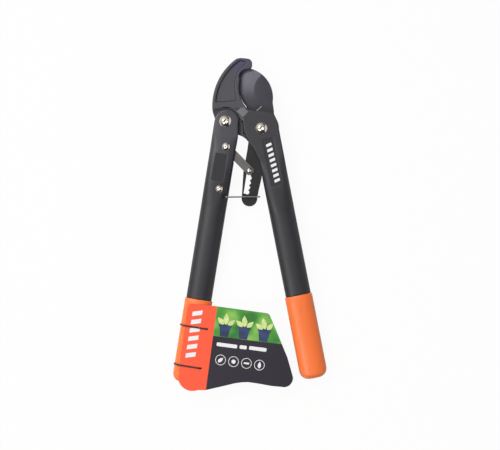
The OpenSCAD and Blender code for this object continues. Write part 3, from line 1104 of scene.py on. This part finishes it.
@dataclass
class Moulding:
    """A nylon moulding: the CAD surface, rounded and crowned as it comes out of its tool.

    Below its head the flat face runs into the oval handle. A crown makes the face fall away
    from its middle, by crown times the square of the distance on either side, left and
    right. It sets in over crown_rise above the middle of the moulding's thickness.
    round_edges and turn_oval are heights along the handle between which the head's edge
    turns round and the whole turns oval. head_power and tube_power say how square the cross
    section is. jaw_from and ramp_from say where the coarse jaw and the slope with the painted
    highlight begin, from the blade's pivot, and ramp_tilt how flat a face may lie to count
    as sloping.
    """

    side: Side
    name: str
    node: str
    finish: Finish
    coarse: Finish
    round_edges: tuple[float, float]
    crown: tuple[float, float] = (0.0, 0.0)
    crown_rise: tuple[float, float] = (3.0, 9.0)
    turn_oval: tuple[float, float] = (-72.0, -112.0)
    half_w: float = 16.2
    half_t: float = 11.55
    least_t: float = 1.0
    head_power: float = 3.6
    tube_power: float = 2.3
    jaw_from: float = 26.0
    ramp_from: Point = (-12.0, 10.0)
    ramp_tilt: float = 0.98
    cell: float = 0.6
    soft_share: float = 0.5
    soft_passes: int = 5

    def _even(self, piece: Object) -> None:
        """Rebuilds the surface from cells of one size, which leaves it closed.

        Args:
            piece: The moulding.
        """
        even = piece.modifiers.new("even_cells", "REMESH")
        even.mode = "VOXEL"
        even.voxel_size = self.cell * MM
        even.use_smooth_shade = True
        view = bpy.context.evaluated_depsgraph_get()
        mesh = bpy.data.meshes.new_from_object(piece.evaluated_get(view))
        piece.modifiers.clear()
        old, piece.data = piece.data, mesh
        bpy.data.meshes.remove(old)
        mesh.name = self.name

    def _eased(self, along: np.ndarray, ends: tuple[float, float]) -> np.ndarray:
        """Rises smoothly from 0 to 1 between two heights along the handle."""
        share = np.clip((ends[0] - along) / (ends[0] - ends[1]), 0, 1)
        return share**2 * (3 - 2 * share)

    def _shape(self, piece: Object) -> None:
        """Crowns the head, and rounds its lower end to meet the oval handle.

        Args:
            piece: The moulding.
        """
        mesh = piece.data
        points = np.empty(len(mesh.vertices) * 3)
        mesh.vertices.foreach_get("co", points)
        points = points.reshape(-1, 3)
        at, turn = origin_of(self.side.joint), self.side.lean
        x, y = (points[:, 0] - at.x) / MM, (points[:, 1] - at.y) / MM
        u = x * math.cos(turn) + y * math.sin(turn)
        v = y * math.cos(turn) - x * math.sin(turn)
        z = points[:, 2] / MM - MIDDLE_Z
        oval_share = self._eased(v, self.turn_oval)
        fall = np.where(u < 0, self.crown[0], self.crown[1]) * u**2
        low, high = self.crown_rise
        z -= fall * (1 - oval_share) * np.clip((z - low) / (high - low), 0, 1)
        across = np.clip(np.abs(u - self.side.offset) / self.half_w, 0, 1)
        power = self.head_power + (self.tube_power - self.head_power) * oval_share
        half_t = MIDDLE_Z + (self.half_t - MIDDLE_Z) * oval_share
        oval = half_t * (1 - across**power) ** (1 / power)
        round_share = self._eased(v, self.round_edges)
        top = (1 - round_share) * MIDDLE_Z + round_share * np.maximum(oval, self.least_t)
        points[:, 2] = (np.clip(z, -top, top) + MIDDLE_Z) * MM
        mesh.vertices.foreach_set("co", points.ravel())
        mesh.update()

    def _mark_jaw(self, piece: Object) -> None:
        """Gives the hook jaw's upper faces the coarse finish, and slopes by it the painted highlight.

        Args:
            piece: The moulding.
        """
        at = origin_of("blade_hinge")
        for face in piece.data.polygons:
            x, y = (face.center.x - at.x) / MM, (face.center.y - at.y) / MM
            if face.normal.z < FACING_UP or y < self.ramp_from[1]:
                continue
            if y > self.jaw_from:
                face.material_index = Patch.COARSE.value
            elif x < self.ramp_from[0] and face.normal.z < self.ramp_tilt:
                face.material_index = Patch.SLOPE_HIGHLIGHT.value

    def build(self) -> Object:
        """Rounds the CAD surface and dresses it.

        Returns:
            The moulding.
        """
        piece = finish_mesh(self.name, copied_shape(self.node), crease=180)
        self._even(piece)
        self._shape(piece)
        self._even(piece)
        self._mark_jaw(piece)
        soft = piece.modifiers.new("round_edges", "SMOOTH")
        soft.factor = self.soft_share
        soft.iterations = self.soft_passes
        return finished(
            piece,
            self.side.body,
            "moulding",
            self.finish,
            self.coarse,
            NYLON_SLOPE_HIGHLIGHT,
            nodes=[self.node],
        )


@dataclass
class GripSleeve:
    """An oval rubber sleeve, open at the top, with a rounded closed end."""

    side: Side
    name: str
    node: str
    start: float
    length: float = 106.4
    width: float = 34.8
    thickness: float = 25.0
    wall: float = 2.75
    end_wall: float = 4.5
    end_round: float = 11.0
    face_round: float = 6.5
    lip: float = 0.9
    power: float = 2.3
    points: int = 96
    lip_steps: int = 6
    end_steps: int = 15
    straight_rows: tuple[float, ...] = (6.0, 20.0, 45.0, 70.0, 90.4)

    def _ring(self, drop: float, width: float, thickness: float) -> list[Vector]:
        """Draws one oval ring.

        Args:
            drop: Distance below the sleeve's top.
            width: Size across the handle.
            thickness: Size through the handle.

        Returns:
            Its points in metres.
        """
        ring = []
        for i in range(self.points):
            a = 2 * math.pi * i / self.points
            c, s = math.cos(a), math.sin(a)
            across = width / 2 * math.copysign(abs(c) ** (2 / self.power), c)
            out = thickness / 2 * math.copysign(abs(s) ** (2 / self.power), s)
            ring.append(
                self.side.place(
                    self.side.offset + across, -self.start - drop, MIDDLE_Z + out
                )
            )
        return ring

    def _rounding(self, left: float, radius: float) -> float:
        """Tells how far a rounded end draws in.

        Args:
            left: Distance left before the end.
            radius: Radius of the rounding.

        Returns:
            How far the surface lies inside the full size.
        """
        if left >= radius:
            return 0.0
        return radius - math.sqrt(max(0.0, radius**2 - (radius - left) ** 2))

    def build(self) -> Object:
        """Lofts the sleeve from its bore, over the lip, down to the end.

        Returns:
            The sleeve.
        """
        bore_w, bore_t = self.width - 2 * self.wall, self.thickness - 2 * self.wall
        rings = [
            self._ring(drop, bore_w, bore_t)
            for drop in (self.length - self.end_wall, self.length / 2, self.lip)
        ]
        for i in range(self.lip_steps + 1):
            a = math.pi * i / self.lip_steps
            reach = self.wall / 2 * (1 - math.cos(a))
            drop = self.lip * (1 - math.sin(a))
            rings.append(self._ring(drop, bore_w + 2 * reach, bore_t + 2 * reach))
        end_rows = [
            self.length
            - self.end_round * (1 - math.sin(math.radians(90 * i / self.end_steps)))
            for i in range(self.end_steps + 1)
        ]
        for drop in (*self.straight_rows, *end_rows):
            left = self.length - drop
            width = self.width - 2 * self._rounding(left, self.end_round)
            thickness = self.thickness - 2 * self._rounding(left, self.face_round)
            rings.append(self._ring(drop, width, thickness))
        piece = finish_mesh(self.name, loft(rings), crease=50)
        return finished(piece, self.side.body, "grip", RUBBER, nodes=[self.node])


@dataclass
class Stamping:
    """A plate, pin or wire of steel: the CAD surface with its sharp edges broken."""

    name: str
    node: str
    body: str
    slot: str
    finish: Finish
    edge_break: float
    crease: float = 30.0

    def build(self) -> Object:
        """Breaks the edges and dresses the piece.

        Returns:
            The piece.
        """
        piece = finish_mesh(self.name, flat_faced_shape(self.node), self.crease)
        if self.edge_break:
            break_edges(piece, self.edge_break)
        return finished(piece, self.body, self.slot, self.finish, nodes=[self.node])


@dataclass
class ButtonHead:
    """A domed bolt or screw with a hexagon socket, turned in one piece with its shank.

    Heights are above the seat, which the head's flat underside lies on. The socket's floor
    lies at floor_share of the head's height and is floor_taper as wide as its mouth, with a
    drilled hollow in it. The dome's facets run from dome_from outside the socket to
    dome_to inside the rim. rim_round gives distances inside the rim with their heights.
    """

    name: str
    node: str
    body: str
    head_d: float
    head_h: float
    shank_d: float
    socket: float
    seat: float = 25.05
    bottom: float = 0.3
    floor_share: float = 0.4
    floor_taper: float = 0.96
    drill_share: float = 0.35
    drill_depth: float = 0.5
    chamfer: float = 0.3
    chamfer_drop: float = 0.03
    dome_from: float = 0.4
    dome_to: float = 0.25
    dome_rows: int = 11
    rim_round: tuple[Point, ...] = ((0.05, 0.12), (0.05, 0.04), (0.3, 0.0))
    shank_chamfer: float = 0.4
    segments: int = 72

    def _wall(self, i: int) -> float:
        """Gives the distance from the axis to the hexagon's wall at one of the segments."""
        a = (360 * i / self.segments) % 60 - 30
        return self.socket / 2 / math.cos(math.radians(a))

    def _dome(self, r: float) -> float:
        """Gives the dome's height at a distance from the axis."""
        cap_r = ((self.head_d / 2) ** 2 + self.head_h**2) / (2 * self.head_h)
        return math.sqrt(cap_r**2 - r**2) - (cap_r - self.head_h)

    def _ring(
        self,
        axis: Point,
        radius: Callable[[int], float],
        height: Callable[[float], float],
    ) -> list[Vector]:
        """Draws a ring round the axis.

        Args:
            axis: Where the axis stands, in metres.
            radius: Gives the distance from the axis at each segment.
            height: Gives the height at a distance from the axis.

        Returns:
            Its points in metres.
        """
        points = []
        for i in range(self.segments):
            a, r = 2 * math.pi * i / self.segments, radius(i)
            x, y = axis[0] + r * MM * math.cos(a), axis[1] + r * MM * math.sin(a)
            points.append(Vector((x, y, (self.seat + height(r)) * MM)))
        return points

    def build(self) -> Object:
        """Builds head, socket and shank.

        Returns:
            The bolt.
        """
        low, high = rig.box(self.node)
        axis = ((low.x + high.x) / 2, (low.y + high.y) / 2)
        floor = self.head_h * self.floor_share
        rim, shank, end = self.head_d / 2, self.shank_d / 2, self.bottom - self.seat
        outlines: list[tuple[Callable[[int], float], Callable[[float], float]]] = [
            # The drilled hollow, the socket's floor, and the chamfer round the socket.
            (lambda i: self._wall(i) * self.drill_share, lambda r: floor - self.drill_depth),
            (lambda i: self._wall(i) * self.floor_taper, lambda r: floor),
            (self._wall, lambda r: self._dome(r) - self.chamfer),
            (
                lambda i: self._wall(i) + self.chamfer,
                lambda r: self._dome(r) - self.chamfer_drop,
            ),
        ]
        for row in range(1, self.dome_rows + 1):
            share = row / self.dome_rows
            outlines.append(
                (
                    lambda i, s=share: (self._wall(i) + self.dome_from) * (1 - s)
                    + (rim - self.dome_to) * s,
                    self._dome,
                )
            )
        turned = [(rim - inside, z) for inside, z in self.rim_round]
        turned += [
            (shank, 0.0),
            (shank, end + self.shank_chamfer),
            (shank - self.shank_chamfer, end),
        ]
        outlines += [(lambda i, r=r: r, lambda _, z=z: z) for r, z in turned]
        rings = [self._ring(axis, radius, height) for radius, height in outlines]
        piece = finish_mesh(self.name, loft(rings), crease=38)
        return finished(piece, self.body, "plated", NICKEL, nodes=[self.node])


@dataclass
class BadgeBlank:
    """A plain badge plate let into a head, with a row of slanted bars where it has a print.

    bar_shape is one bar round its own middle. The bars' middles are given in shares of the
    plate: bar_left and bar_top for the first, bar_step across and bar_reach over the height.
    """

    side: Side
    name: str
    node: str
    left: float
    low: float
    width: float
    height: float
    bars: int = 0
    finish: Finish = BLANK
    bottom: float = 24.25
    top: float = 24.84
    corner: float = 0.8
    bar_shape: tuple[Point, ...] = ((-3.4, -2.9), (3.6, -1.3), (3.6, 2.2), (-3.4, 0.6))
    bar_left: float = 0.46
    bar_step: float = 0.02
    bar_top: float = 0.94
    bar_reach: float = 0.88
    ink: float = 0.05
    ink_sunk: float = 0.02

    def _bar(self, i: int) -> Object:
        """Builds one slanted bar of the print.

        Args:
            i: Its number from the top, counted from 0.

        Returns:
            The bar.
        """
        u = self.left + self.width * (self.bar_left + self.bar_step * i)
        share = (i + 0.5) / self.bars
        v = self.low + self.height * (self.bar_top - self.bar_reach * share)
        outline = [self.side.place(u + du, v + dv, 0) for du, dv in self.bar_shape]
        ink = prism(outline, self.top - self.ink_sunk, self.top + self.ink)
        return finish_mesh(f"{self.name}_bar_{i + 1}", ink, crease=30)

    def build(self) -> list[Object]:
        """Builds the plate and its print.

        Returns:
            The pieces.
        """
        centre = (self.left + self.width / 2, self.low + self.height / 2)
        box = rounded_box(self.width, self.height, self.corner, centre)
        outline = [self.side.place(u, v, 0) for u, v in box]
        plate = finish_mesh(self.name, prism(outline, self.bottom, self.top), crease=30)
        body = self.side.body
        made = [finished(plate, body, "inlay", self.finish, nodes=[self.node])]
        for i in range(self.bars):
            made.append(finished(self._bar(i), body, "inlay", PRINT_WHITE))
        return made


@dataclass
class HangCard:
    """The printed card on the left grip: orange band, lawn picture and slate panel.

    divider is the line between the band and the rest, and horizon the one between picture
    and panel. A leaf is given by its stalk's foot across and up, its length, its width and
    its bearing, counterclockwise from the right. leaf_power moves a leaf's widest part
    towards its foot.
    """

    side: Side = Side.LEFT
    divider: tuple[Point, Point] = ((26.6, -233.9), (29.3, -336.1))
    horizon: tuple[Point, Point] = ((27.2, -268.5), (113.4, -265.2))
    front: float = 25.6
    ink: float = 0.03
    ink_sunk: float = 0.01
    print_turn: float = 1.6
    leaf_steps: int = 12
    leaf_power: float = 0.8
    ring_points: int = 40
    # The potted seedlings: their feet, the pot round its foot, and three leaves from a foot.
    feet: tuple[Point, ...] = ((41.0, -267.9), (65.0, -267.0), (90.5, -266.0))
    pot: tuple[Point, ...] = (
        (-5.2, 0.3),
        (5.2, 0.3),
        (7.0, 12.4),
        (8.2, 12.4),
        (8.2, 16.0),
        (-8.2, 16.0),
        (-8.2, 12.4),
        (-7.0, 12.4),
    )
    leaves: tuple[tuple[float, ...], ...] = (
        (-2.6, 15.6, 11.5, 6.0, 138),
        (0.0, 15.8, 14.5, 6.8, 94),
        (2.8, 15.6, 11, 5.6, 42),
    )
    leaf_fan: float = 7.0
    # The title's bars: middle and width of each, and the height and rounding of all.
    title: tuple[tuple[Point, float], ...] = (
        ((46.5, -277.6), 26.0),
        ((67.0, -276.7), 9.0),
        ((85.5, -275.8), 22.0),
    )
    title_h: float = 4.6
    title_round: float = 1.4
    # The ringed marks: first middle, step to the next, the rings' radii, and what is in
    # them: two leaves by foot and bearing, a dot, and a bar by width, height and rounding.
    marks: int = 4
    mark_from: Point = (41.5, -296.9)
    mark_step: Point = (16.4, 0.45)
    ring_outer: float = 6.6
    ring_inner: float = 5.9
    mark_leaf: Point = (8.6, 4.2)
    first_leaf: tuple[float, float, float] = (-2.8, -3.2, 48.0)
    last_leaf: tuple[float, float, float] = (0.2, -4.2, 92.0)
    dot_r: float = 2.6
    dash: tuple[float, float, float] = (7.0, 2.2, 0.8)
    # The band's bars: how many, height of the first, step down, and one bar's corners.
    band_bars: int = 6
    band_from: float = -245.0
    band_step: float = 10.6
    band_bar: tuple[Point, ...] = ((-2.6, -3.2), (9.6, 0.4), (9.6, 6.0), (-2.6, 2.4))

    def _cut(self, shape: Shape, line: tuple[Point, Point]) -> Callable[[Vector], float]:
        """Cuts the card along a line.

        Args:
            shape: The card.
            line: Two points of the line, in the handle's frame.

        Returns:
            A function that measures how far left of the line a point lies, as one looks
            along it.
        """
        first, second = (self.side.place(*p, 0) for p in line)
        along = (second - first).normalized()
        across = Vector((-along.y, along.x, 0))
        bmesh.ops.bisect_plane(
            shape,
            geom=shape.verts[:] + shape.edges[:] + shape.faces[:],
            plane_co=first,
            plane_no=across,
        )
        return lambda p: (p - first).dot(across)

    def _card(self) -> Object:
        """Builds the card itself, its front split into the printed areas.

        Returns:
            The card.
        """
        shape = flat_faced_shape("hang_card")
        right_of_divider = self._cut(shape, self.divider)
        above_horizon = self._cut(shape, self.horizon)
        bmesh.ops.triangulate(shape, faces=shape.faces)
        for face in shape.faces:
            middle = face.calc_center_median()
            if face.normal.z < FACING_UP:
                zone = Zone.BOARD
            elif right_of_divider(middle) < 0:
                zone = Zone.BAND
            elif above_horizon(middle) > 0:
                zone = Zone.PICTURE
            else:
                zone = Zone.PANEL
            face.material_index = zone.value
        return finished(
            finish_mesh("printed_card", shape, crease=30),
            self.side.body,
            "card",
            BOARD,
            PRINT_BAND,
            PRINT_LAWN,
            PRINT_PANEL,
            nodes=["hang_card"],
        )

    def _print(
        self,
        name: str,
        outlines: Sequence[Sequence[Point]],
        finish: Finish,
        layer: int = 1,
        holes: Sequence[Sequence[Point]] = (),
    ) -> Object:
        """Prints flat shapes on the card's front.

        Args:
            name: Name of the piece.
            outlines: Closed outlines in the handle's frame.
            finish: The ink.
            layer: How many inks lie under it, plus one.
            holes: Holes of the first outlines, with as many points each.

        Returns:
            The piece.
        """
        low, high = self.front - self.ink_sunk, self.front + self.ink * layer
        parts = []
        for i, outline in enumerate(outlines):
            outer = [self.side.place(u, v, 0) for u, v in outline]
            if i < len(holes):
                inner = [self.side.place(u, v, 0) for u, v in holes[i]]
                parts.append(open_plate(outer, inner, low, high))
            else:
                parts.append(prism(outer, low, high))
        printed = finish_mesh(name, merged(parts), crease=30)
        return finished(printed, self.side.body, "card", finish)

    def _turned(self, centre: Point, points: Sequence[Point]) -> list[Point]:
        """Turns an outline as the print is turned, and moves it to its place.

        Args:
            centre: Where its origin goes.
            points: Its points from that origin.

        Returns:
            The points in the handle's frame.
        """
        turn = math.radians(self.print_turn)
        c, s = math.cos(turn), math.sin(turn)
        return [(centre[0] + u * c - v * s, centre[1] + u * s + v * c) for u, v in points]

    def _leaf(self, root: Point, length: float, width: float, bearing: float) -> list[Point]:
        """Draws a pointed leaf.

        Args:
            root: Foot of its stalk.
            length: From the foot to the tip.
            width: At its widest.
            bearing: Where it points.

        Returns:
            Its outline.
        """
        turn = math.radians(bearing)
        c, s = math.cos(turn), math.sin(turn)
        points = []
        for side in (1, -1):
            for i in range(self.leaf_steps):
                t = i / self.leaf_steps if side > 0 else 1 - i / self.leaf_steps
                half = side * width / 2 * math.sin(math.pi * t**self.leaf_power)
                along = length * t
                points.append((root[0] + along * c - half * s, root[1] + along * s + half * c))
        return points

    def _circle(self, centre: Point, radius: float) -> list[Point]:
        """Draws a circle.

        Args:
            centre: Its middle.
            radius: Its radius.

        Returns:
            Its points, as many for every circle.
        """
        angles = (2 * math.pi * i / self.ring_points for i in range(self.ring_points))
        return [
            (centre[0] + radius * math.cos(a), centre[1] + radius * math.sin(a))
            for a in angles
        ]

    def _picture(self) -> list[Object]:
        """Prints three potted seedlings that stand along the foot of the lawn.

        Returns:
            The pots, and one piece for each leaf's ink.
        """
        pots = [self._turned(foot, self.pot) for foot in self.feet]
        made = [self._print("card_pots", pots, PRINT_POT)]
        for number, (u, v, length, width, bearing) in enumerate(self.leaves, 1):
            outlines = [
                self._leaf(
                    (foot[0] + u, foot[1] + v), length, width, bearing + self.leaf_fan * i
                )
                for i, foot in enumerate(self.feet)
            ]
            made.append(
                self._print(f"card_leaves_{number}", outlines, PRINT_LEAF, number + 1)
            )
        return made

    def _panel(self) -> list[Object]:
        """Prints the title's bars and the ringed marks: leaf, dot, bar and leaf.

        Returns:
            The two pieces.
        """
        title = [
            self._turned(at, rounded_box(width, self.title_h, self.title_round, (0, 0)))
            for at, width in self.title
        ]
        (u, v), (du, dv) = self.mark_from, self.mark_step
        middles = [(u + du * i, v + dv * i) for i in range(self.marks)]
        first, second, third, last = middles
        leaves = [
            self._leaf((middle[0] + across, middle[1] + up), *self.mark_leaf, bearing)
            for middle, (across, up, bearing) in (
                (first, self.first_leaf),
                (last, self.last_leaf),
            )
        ]
        signs = [
            leaves[0],
            self._circle(second, self.dot_r),
            self._turned(third, rounded_box(*self.dash, (0, 0))),
            leaves[1],
        ]
        outer = [self._circle(middle, self.ring_outer) for middle in middles]
        inner = [self._circle(middle, self.ring_inner) for middle in middles]
        return [
            self._print("card_title_bars", title, PRINT_WHITE),
            self._print("card_mark_rings", outer + signs, PRINT_WHITE, holes=inner),
        ]

    def _band(self) -> Object:
        """Prints the slanted bars on the band.

        Returns:
            The piece.
        """
        rows = [self.band_from - self.band_step * i for i in range(self.band_bars)]
        bars = [[(u, v + dv) for u, dv in self.band_bar] for v in rows]
        return self._print("card_band_bars", bars, PRINT_WHITE)

    def build(self) -> list[Object]:
        """Builds the card and its print.

        Returns:
            The pieces.
        """
        return [self._card(), *self._picture(), *self._panel(), self._band()]


@dataclass
class CarriedPart:
    """A part whose CAD surface is right as it is, and which takes a real finish."""

    node: str
    finish: Finish

    def build(self) -> Object:
        """Puts the finish in every material slot of the node.

        Returns:
            The node's object.
        """
        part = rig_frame["nodes"][self.node]
        for slot in part.material_slots:
            slot.material = self.finish.build()
        log.info("%s carries %s", self.node, self.finish.name)
        return part


@dataclass(frozen=True)
class SoftBox:
    """A square soft box that faces the middle of the tool.

    Place and width are in metres, power in watts. Bright metal shows it where mirrored.
    """

    name: str
    place: tuple[float, float, float]
    width: float
    power: float
    tint: str
    mirrored: bool = True

    def build(self) -> Object:
        """Hangs the lamp.

        Returns:
            The lamp.
        """
        data = bpy.data.lights.new(self.name, "AREA")
        data.shape = "RECTANGLE"
        data.size = data.size_y = self.width
        data.energy = self.power
        data.color = linear(self.tint)[:3]
        lamp = bpy.data.objects.new(self.name, data)
        lamp.location = self.place
        lamp.rotation_mode = "QUATERNION"
        lamp.rotation_quaternion = (-Vector(self.place)).to_track_quat("-Z", "Y")
        lamp.visible_glossy = self.mirrored
        bpy.context.scene.collection.objects.link(lamp)
        return lamp


@dataclass
class Studio:
    """Pale floor, soft lamps and the camera straight above the tool.

    height, focus_z, seen and floor_size are in metres: seen is the width that the camera
    takes in at focus_z. The room shines most from glow_from: its level climbs between the
    two values of glow_level as the cosine between a direction and glow_from climbs between
    those of glow_turn. The white wall on the right begins and is full at the cosines of
    wall_turn. floor_white is the share of plain white in what the camera sees of the floor,
    and the rest is paper with the tool's shadow.
    """

    height: float = 2.2
    seen: float = 0.63
    focus_z: float = 0.018
    sensor: float = 36.0
    aim: Point = (-14.5, -121.6)
    floor_size: float = 4.0
    floor_gap: float = 0.3
    paper: float = 0.86
    floor_white: float = 0.94
    glow_from: tuple[float, float, float] = (-0.46, 0.38, 0.8)
    glow_turn: tuple[float, float] = (0.22, 0.95)
    glow_level: tuple[float, float] = (0.05, 0.76)
    wall_turn: tuple[float, float] = (0.66, 0.8)
    wall_level: float = 0.7
    lamps: tuple[SoftBox, ...] = (
        SoftBox("upper_softbox", (-0.78, 0.68, 1.55), 0.75, 14.0, "#fffaf4"),
        SoftBox("lower_softbox", (-0.84, -0.7, 1.45), 0.6, 9.0, "#fffaf4"),
        SoftBox("fill_softbox", (1.2, -0.2, 1.5), 1.0, 3.0, "#f4f8ff", mirrored=False),
    )

    def camera(self) -> Object:
        """Makes the camera, which looks straight down.

        Returns:
            The camera.
        """
        data = bpy.data.cameras.new("camera")
        data.sensor_width = self.sensor
        data.lens = self.sensor * (self.height - self.focus_z) / self.seen
        camera = bpy.data.objects.new("camera", data)
        pivot = origin_of("blade_hinge")
        camera.location = (
            pivot.x + self.aim[0] * MM,
            pivot.y + self.aim[1] * MM,
            self.height,
        )
        bpy.context.scene.collection.objects.link(camera)
        bpy.context.scene.camera = camera
        return camera

    def floor(self) -> Object:
        """Lays the floor, which shows white and keeps a faint shadow.

        Returns:
            The floor.
        """
        shape = bmesh.new()
        bmesh.ops.create_grid(shape, x_segments=4, y_segments=4, size=self.floor_size)
        floor = finish_mesh("studio_floor", shape, crease=30)
        floor.location.z = -self.floor_gap * MM
        material = bpy.data.materials.new("floor_white_paper")
        material.use_nodes = True
        tree = material.node_tree
        tree.nodes.clear()
        path = add_node(tree, "ShaderNodeLightPath")
        share = add_node(
            tree,
            "ShaderNodeMath",
            {0: path.outputs["Is Camera Ray"], 1: self.floor_white},
            operation="MULTIPLY",
        )
        paper = add_node(
            tree,
            "ShaderNodeBsdfDiffuse",
            {"Color": (self.paper, self.paper, self.paper, 1.0)},
        )
        white = add_node(tree, "ShaderNodeEmission", {"Color": WHITE, "Strength": 1.0})
        mix = add_node(
            tree,
            "ShaderNodeMixShader",
            {0: share.outputs[0], 1: paper.outputs[0], 2: white.outputs[0]},
        )
        add_node(tree, "ShaderNodeOutputMaterial", {"Surface": mix.outputs[0]})
        floor.data.materials.append(material)
        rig.stage(floor)
        return floor

    def world(self) -> bpy.types.World:
        """Lights the room softly, brighter from the upper left, and shows white behind.

        Returns:
            The world.
        """
        world = bpy.data.worlds.new("studio_room")
        world.use_nodes = True
        tree = world.node_tree
        tree.nodes.clear()
        way = add_node(tree, "ShaderNodeTexCoord").outputs["Generated"]
        turn = add_node(
            tree,
            "ShaderNodeVectorMath",
            {0: way, 1: self.glow_from},
            operation="DOT_PRODUCT",
        )
        level = add_node(
            tree,
            "ShaderNodeMapRange",
            {
                "Value": turn.outputs["Value"],
                "From Min": self.glow_turn[0],
                "From Max": self.glow_turn[1],
                "To Min": self.glow_level[0],
                "To Max": self.glow_level[1],
            },
            interpolation_type="SMOOTHSTEP",
        )
        path = add_node(tree, "ShaderNodeLightPath")
        # The white wall shines only in bright metal and in gloss.
        wall = add_node(
            tree,
            "ShaderNodeMapRange",
            {
                "Value": add_node(tree, "ShaderNodeSeparateXYZ", {0: way}).outputs["X"],
                "From Min": self.wall_turn[0],
                "From Max": self.wall_turn[1],
                "To Max": self.wall_level,
            },
            interpolation_type="SMOOTHSTEP",
        )
        lit = add_node(
            tree,
            "ShaderNodeMath",
            {
                0: wall.outputs["Result"],
                1: path.outputs["Is Glossy Ray"],
                2: level.outputs["Result"],
            },
            operation="MULTIPLY_ADD",
        )
        strength = add_node(
            tree,
            "ShaderNodeMix",
            {"Factor": path.outputs["Is Camera Ray"], 2: lit.outputs[0], 3: 1.0},
        )
        room = add_node(
            tree,
            "ShaderNodeBackground",
            {"Color": WHITE, "Strength": strength.outputs[0]},
        )
        add_node(tree, "ShaderNodeOutputWorld", {"Surface": room.outputs[0]})
        bpy.context.scene.world = world
        return world

    def build(self) -> None:
        """Sets up the whole studio."""
        self.camera()
        self.floor()
        self.world()
        for lamp in self.lamps:
            lamp.build()
        bpy.context.scene.view_settings.view_transform = "Standard"


def main() -> None:
    """Builds and reports every piece, in the order of the tool's assembly."""
    logging.basicConfig(level=logging.INFO, format="%(message)s")
    Studio().build()
    Moulding(
        Side.RIGHT,
        "jaw_moulding",
        "jaw_handle",
        NYLON_RIGHT,
        NYLON_COARSE_BLUE_LIT,
        round_edges=(-34.0, -66.0),
    ).build()
    Moulding(
        Side.LEFT,
        "fork_moulding",
        "fork_handle",
        NYLON_LEFT,
        NYLON_COARSE,
        round_edges=(-13.0, -36.0),
        crown=(0.004, 0.001),
    ).build()
    GripSleeve(Side.RIGHT, "right_sleeve", "right_grip", start=215.05).build()
    GripSleeve(Side.LEFT, "left_sleeve", "left_grip", start=226.55).build()
    Stamping(
        "blade_plate", "blade", "blade", "coated_blade", BLADE_STEEL, 0.3, crease=25.0
    ).build()
    for name, node, body, head_d, head_h, shank_d, socket in (
        ("blade_button_bolt", "blade_bolt", "jaw_side", 15.5, 4.0, 8.0, 4.6),
        ("handle_button_bolt", "handle_bolt", "fork_side", 15.5, 4.0, 8.0, 4.6),
        ("link_button_screw", "link_screw", "fork_side", 11.0, 3.0, 5.0, 2.9),
        ("anchor_button_screw", "anchor_screw", "fork_side", 9.8, 2.8, 5.0, 2.8),
    ):
        ButtonHead(name, node, body, head_d, head_h, shank_d, socket).build()
    for name, node, body, slot, finish, edge_break in (
        ("ratchet_pin_turned", "ratchet_pin", "link", "plated", NICKEL, 0.12),
        ("link_front_strap", "link_front", "link", "strap", PHOSPHATE, 0.3),
        ("link_back_strap", "link_back", "link", "strap", PHOSPHATE, 0.3),
        ("storage_bail", "latch_bail", "latch", "wire", WIRE, 0.0),
        ("spring_coil", "ratchet_spring", "fork_side", "spring", SPRING, 0.0),
        ("upper_tie", "card_tie_upper", "fork_side", "tie", TIE, 0.25),
        ("lower_tie", "card_tie_lower", "fork_side", "tie", TIE, 0.25),
    ):
        Stamping(name, node, body, slot, finish, edge_break).build()
    BadgeBlank(
        Side.RIGHT,
        "right_badge",
        "right_inlay",
        left=-1.2,
        low=-74.4,
        width=13.1,
        height=59.3,
        bars=8,
        finish=BLANK_PALE,
    ).build()
    BadgeBlank(
        Side.LEFT,
        "left_badge",
        "left_inlay",
        left=-5.8,
        low=-75.4,
        width=14.6,
        height=34.3,
    ).build()
    HangCard().build()
    for finish, nodes in (
        (ZINC, ("blade_nut", "handle_nut", "link_nut", "anchor_nut", "pin_washer")),
        (ZINC, ("blade_washers", "hinge_washers", "link_washers")),
        (BRONZE, ("blade_bush", "hinge_bush", "link_spacer", "anchor_sleeve")),
    ):
        for node in nodes:
            CarriedPart(node, finish).build()


if __name__ == "__main__":
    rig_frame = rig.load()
    cad_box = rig.bounds()
    main()
    with open(SIZE_FILE, "w") as size_file:
        boxes = {"cad": cad_box, "visual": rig.bounds()}
        json.dump({k: [list(p) for p in box] for k, box in boxes.items()}, size_file)
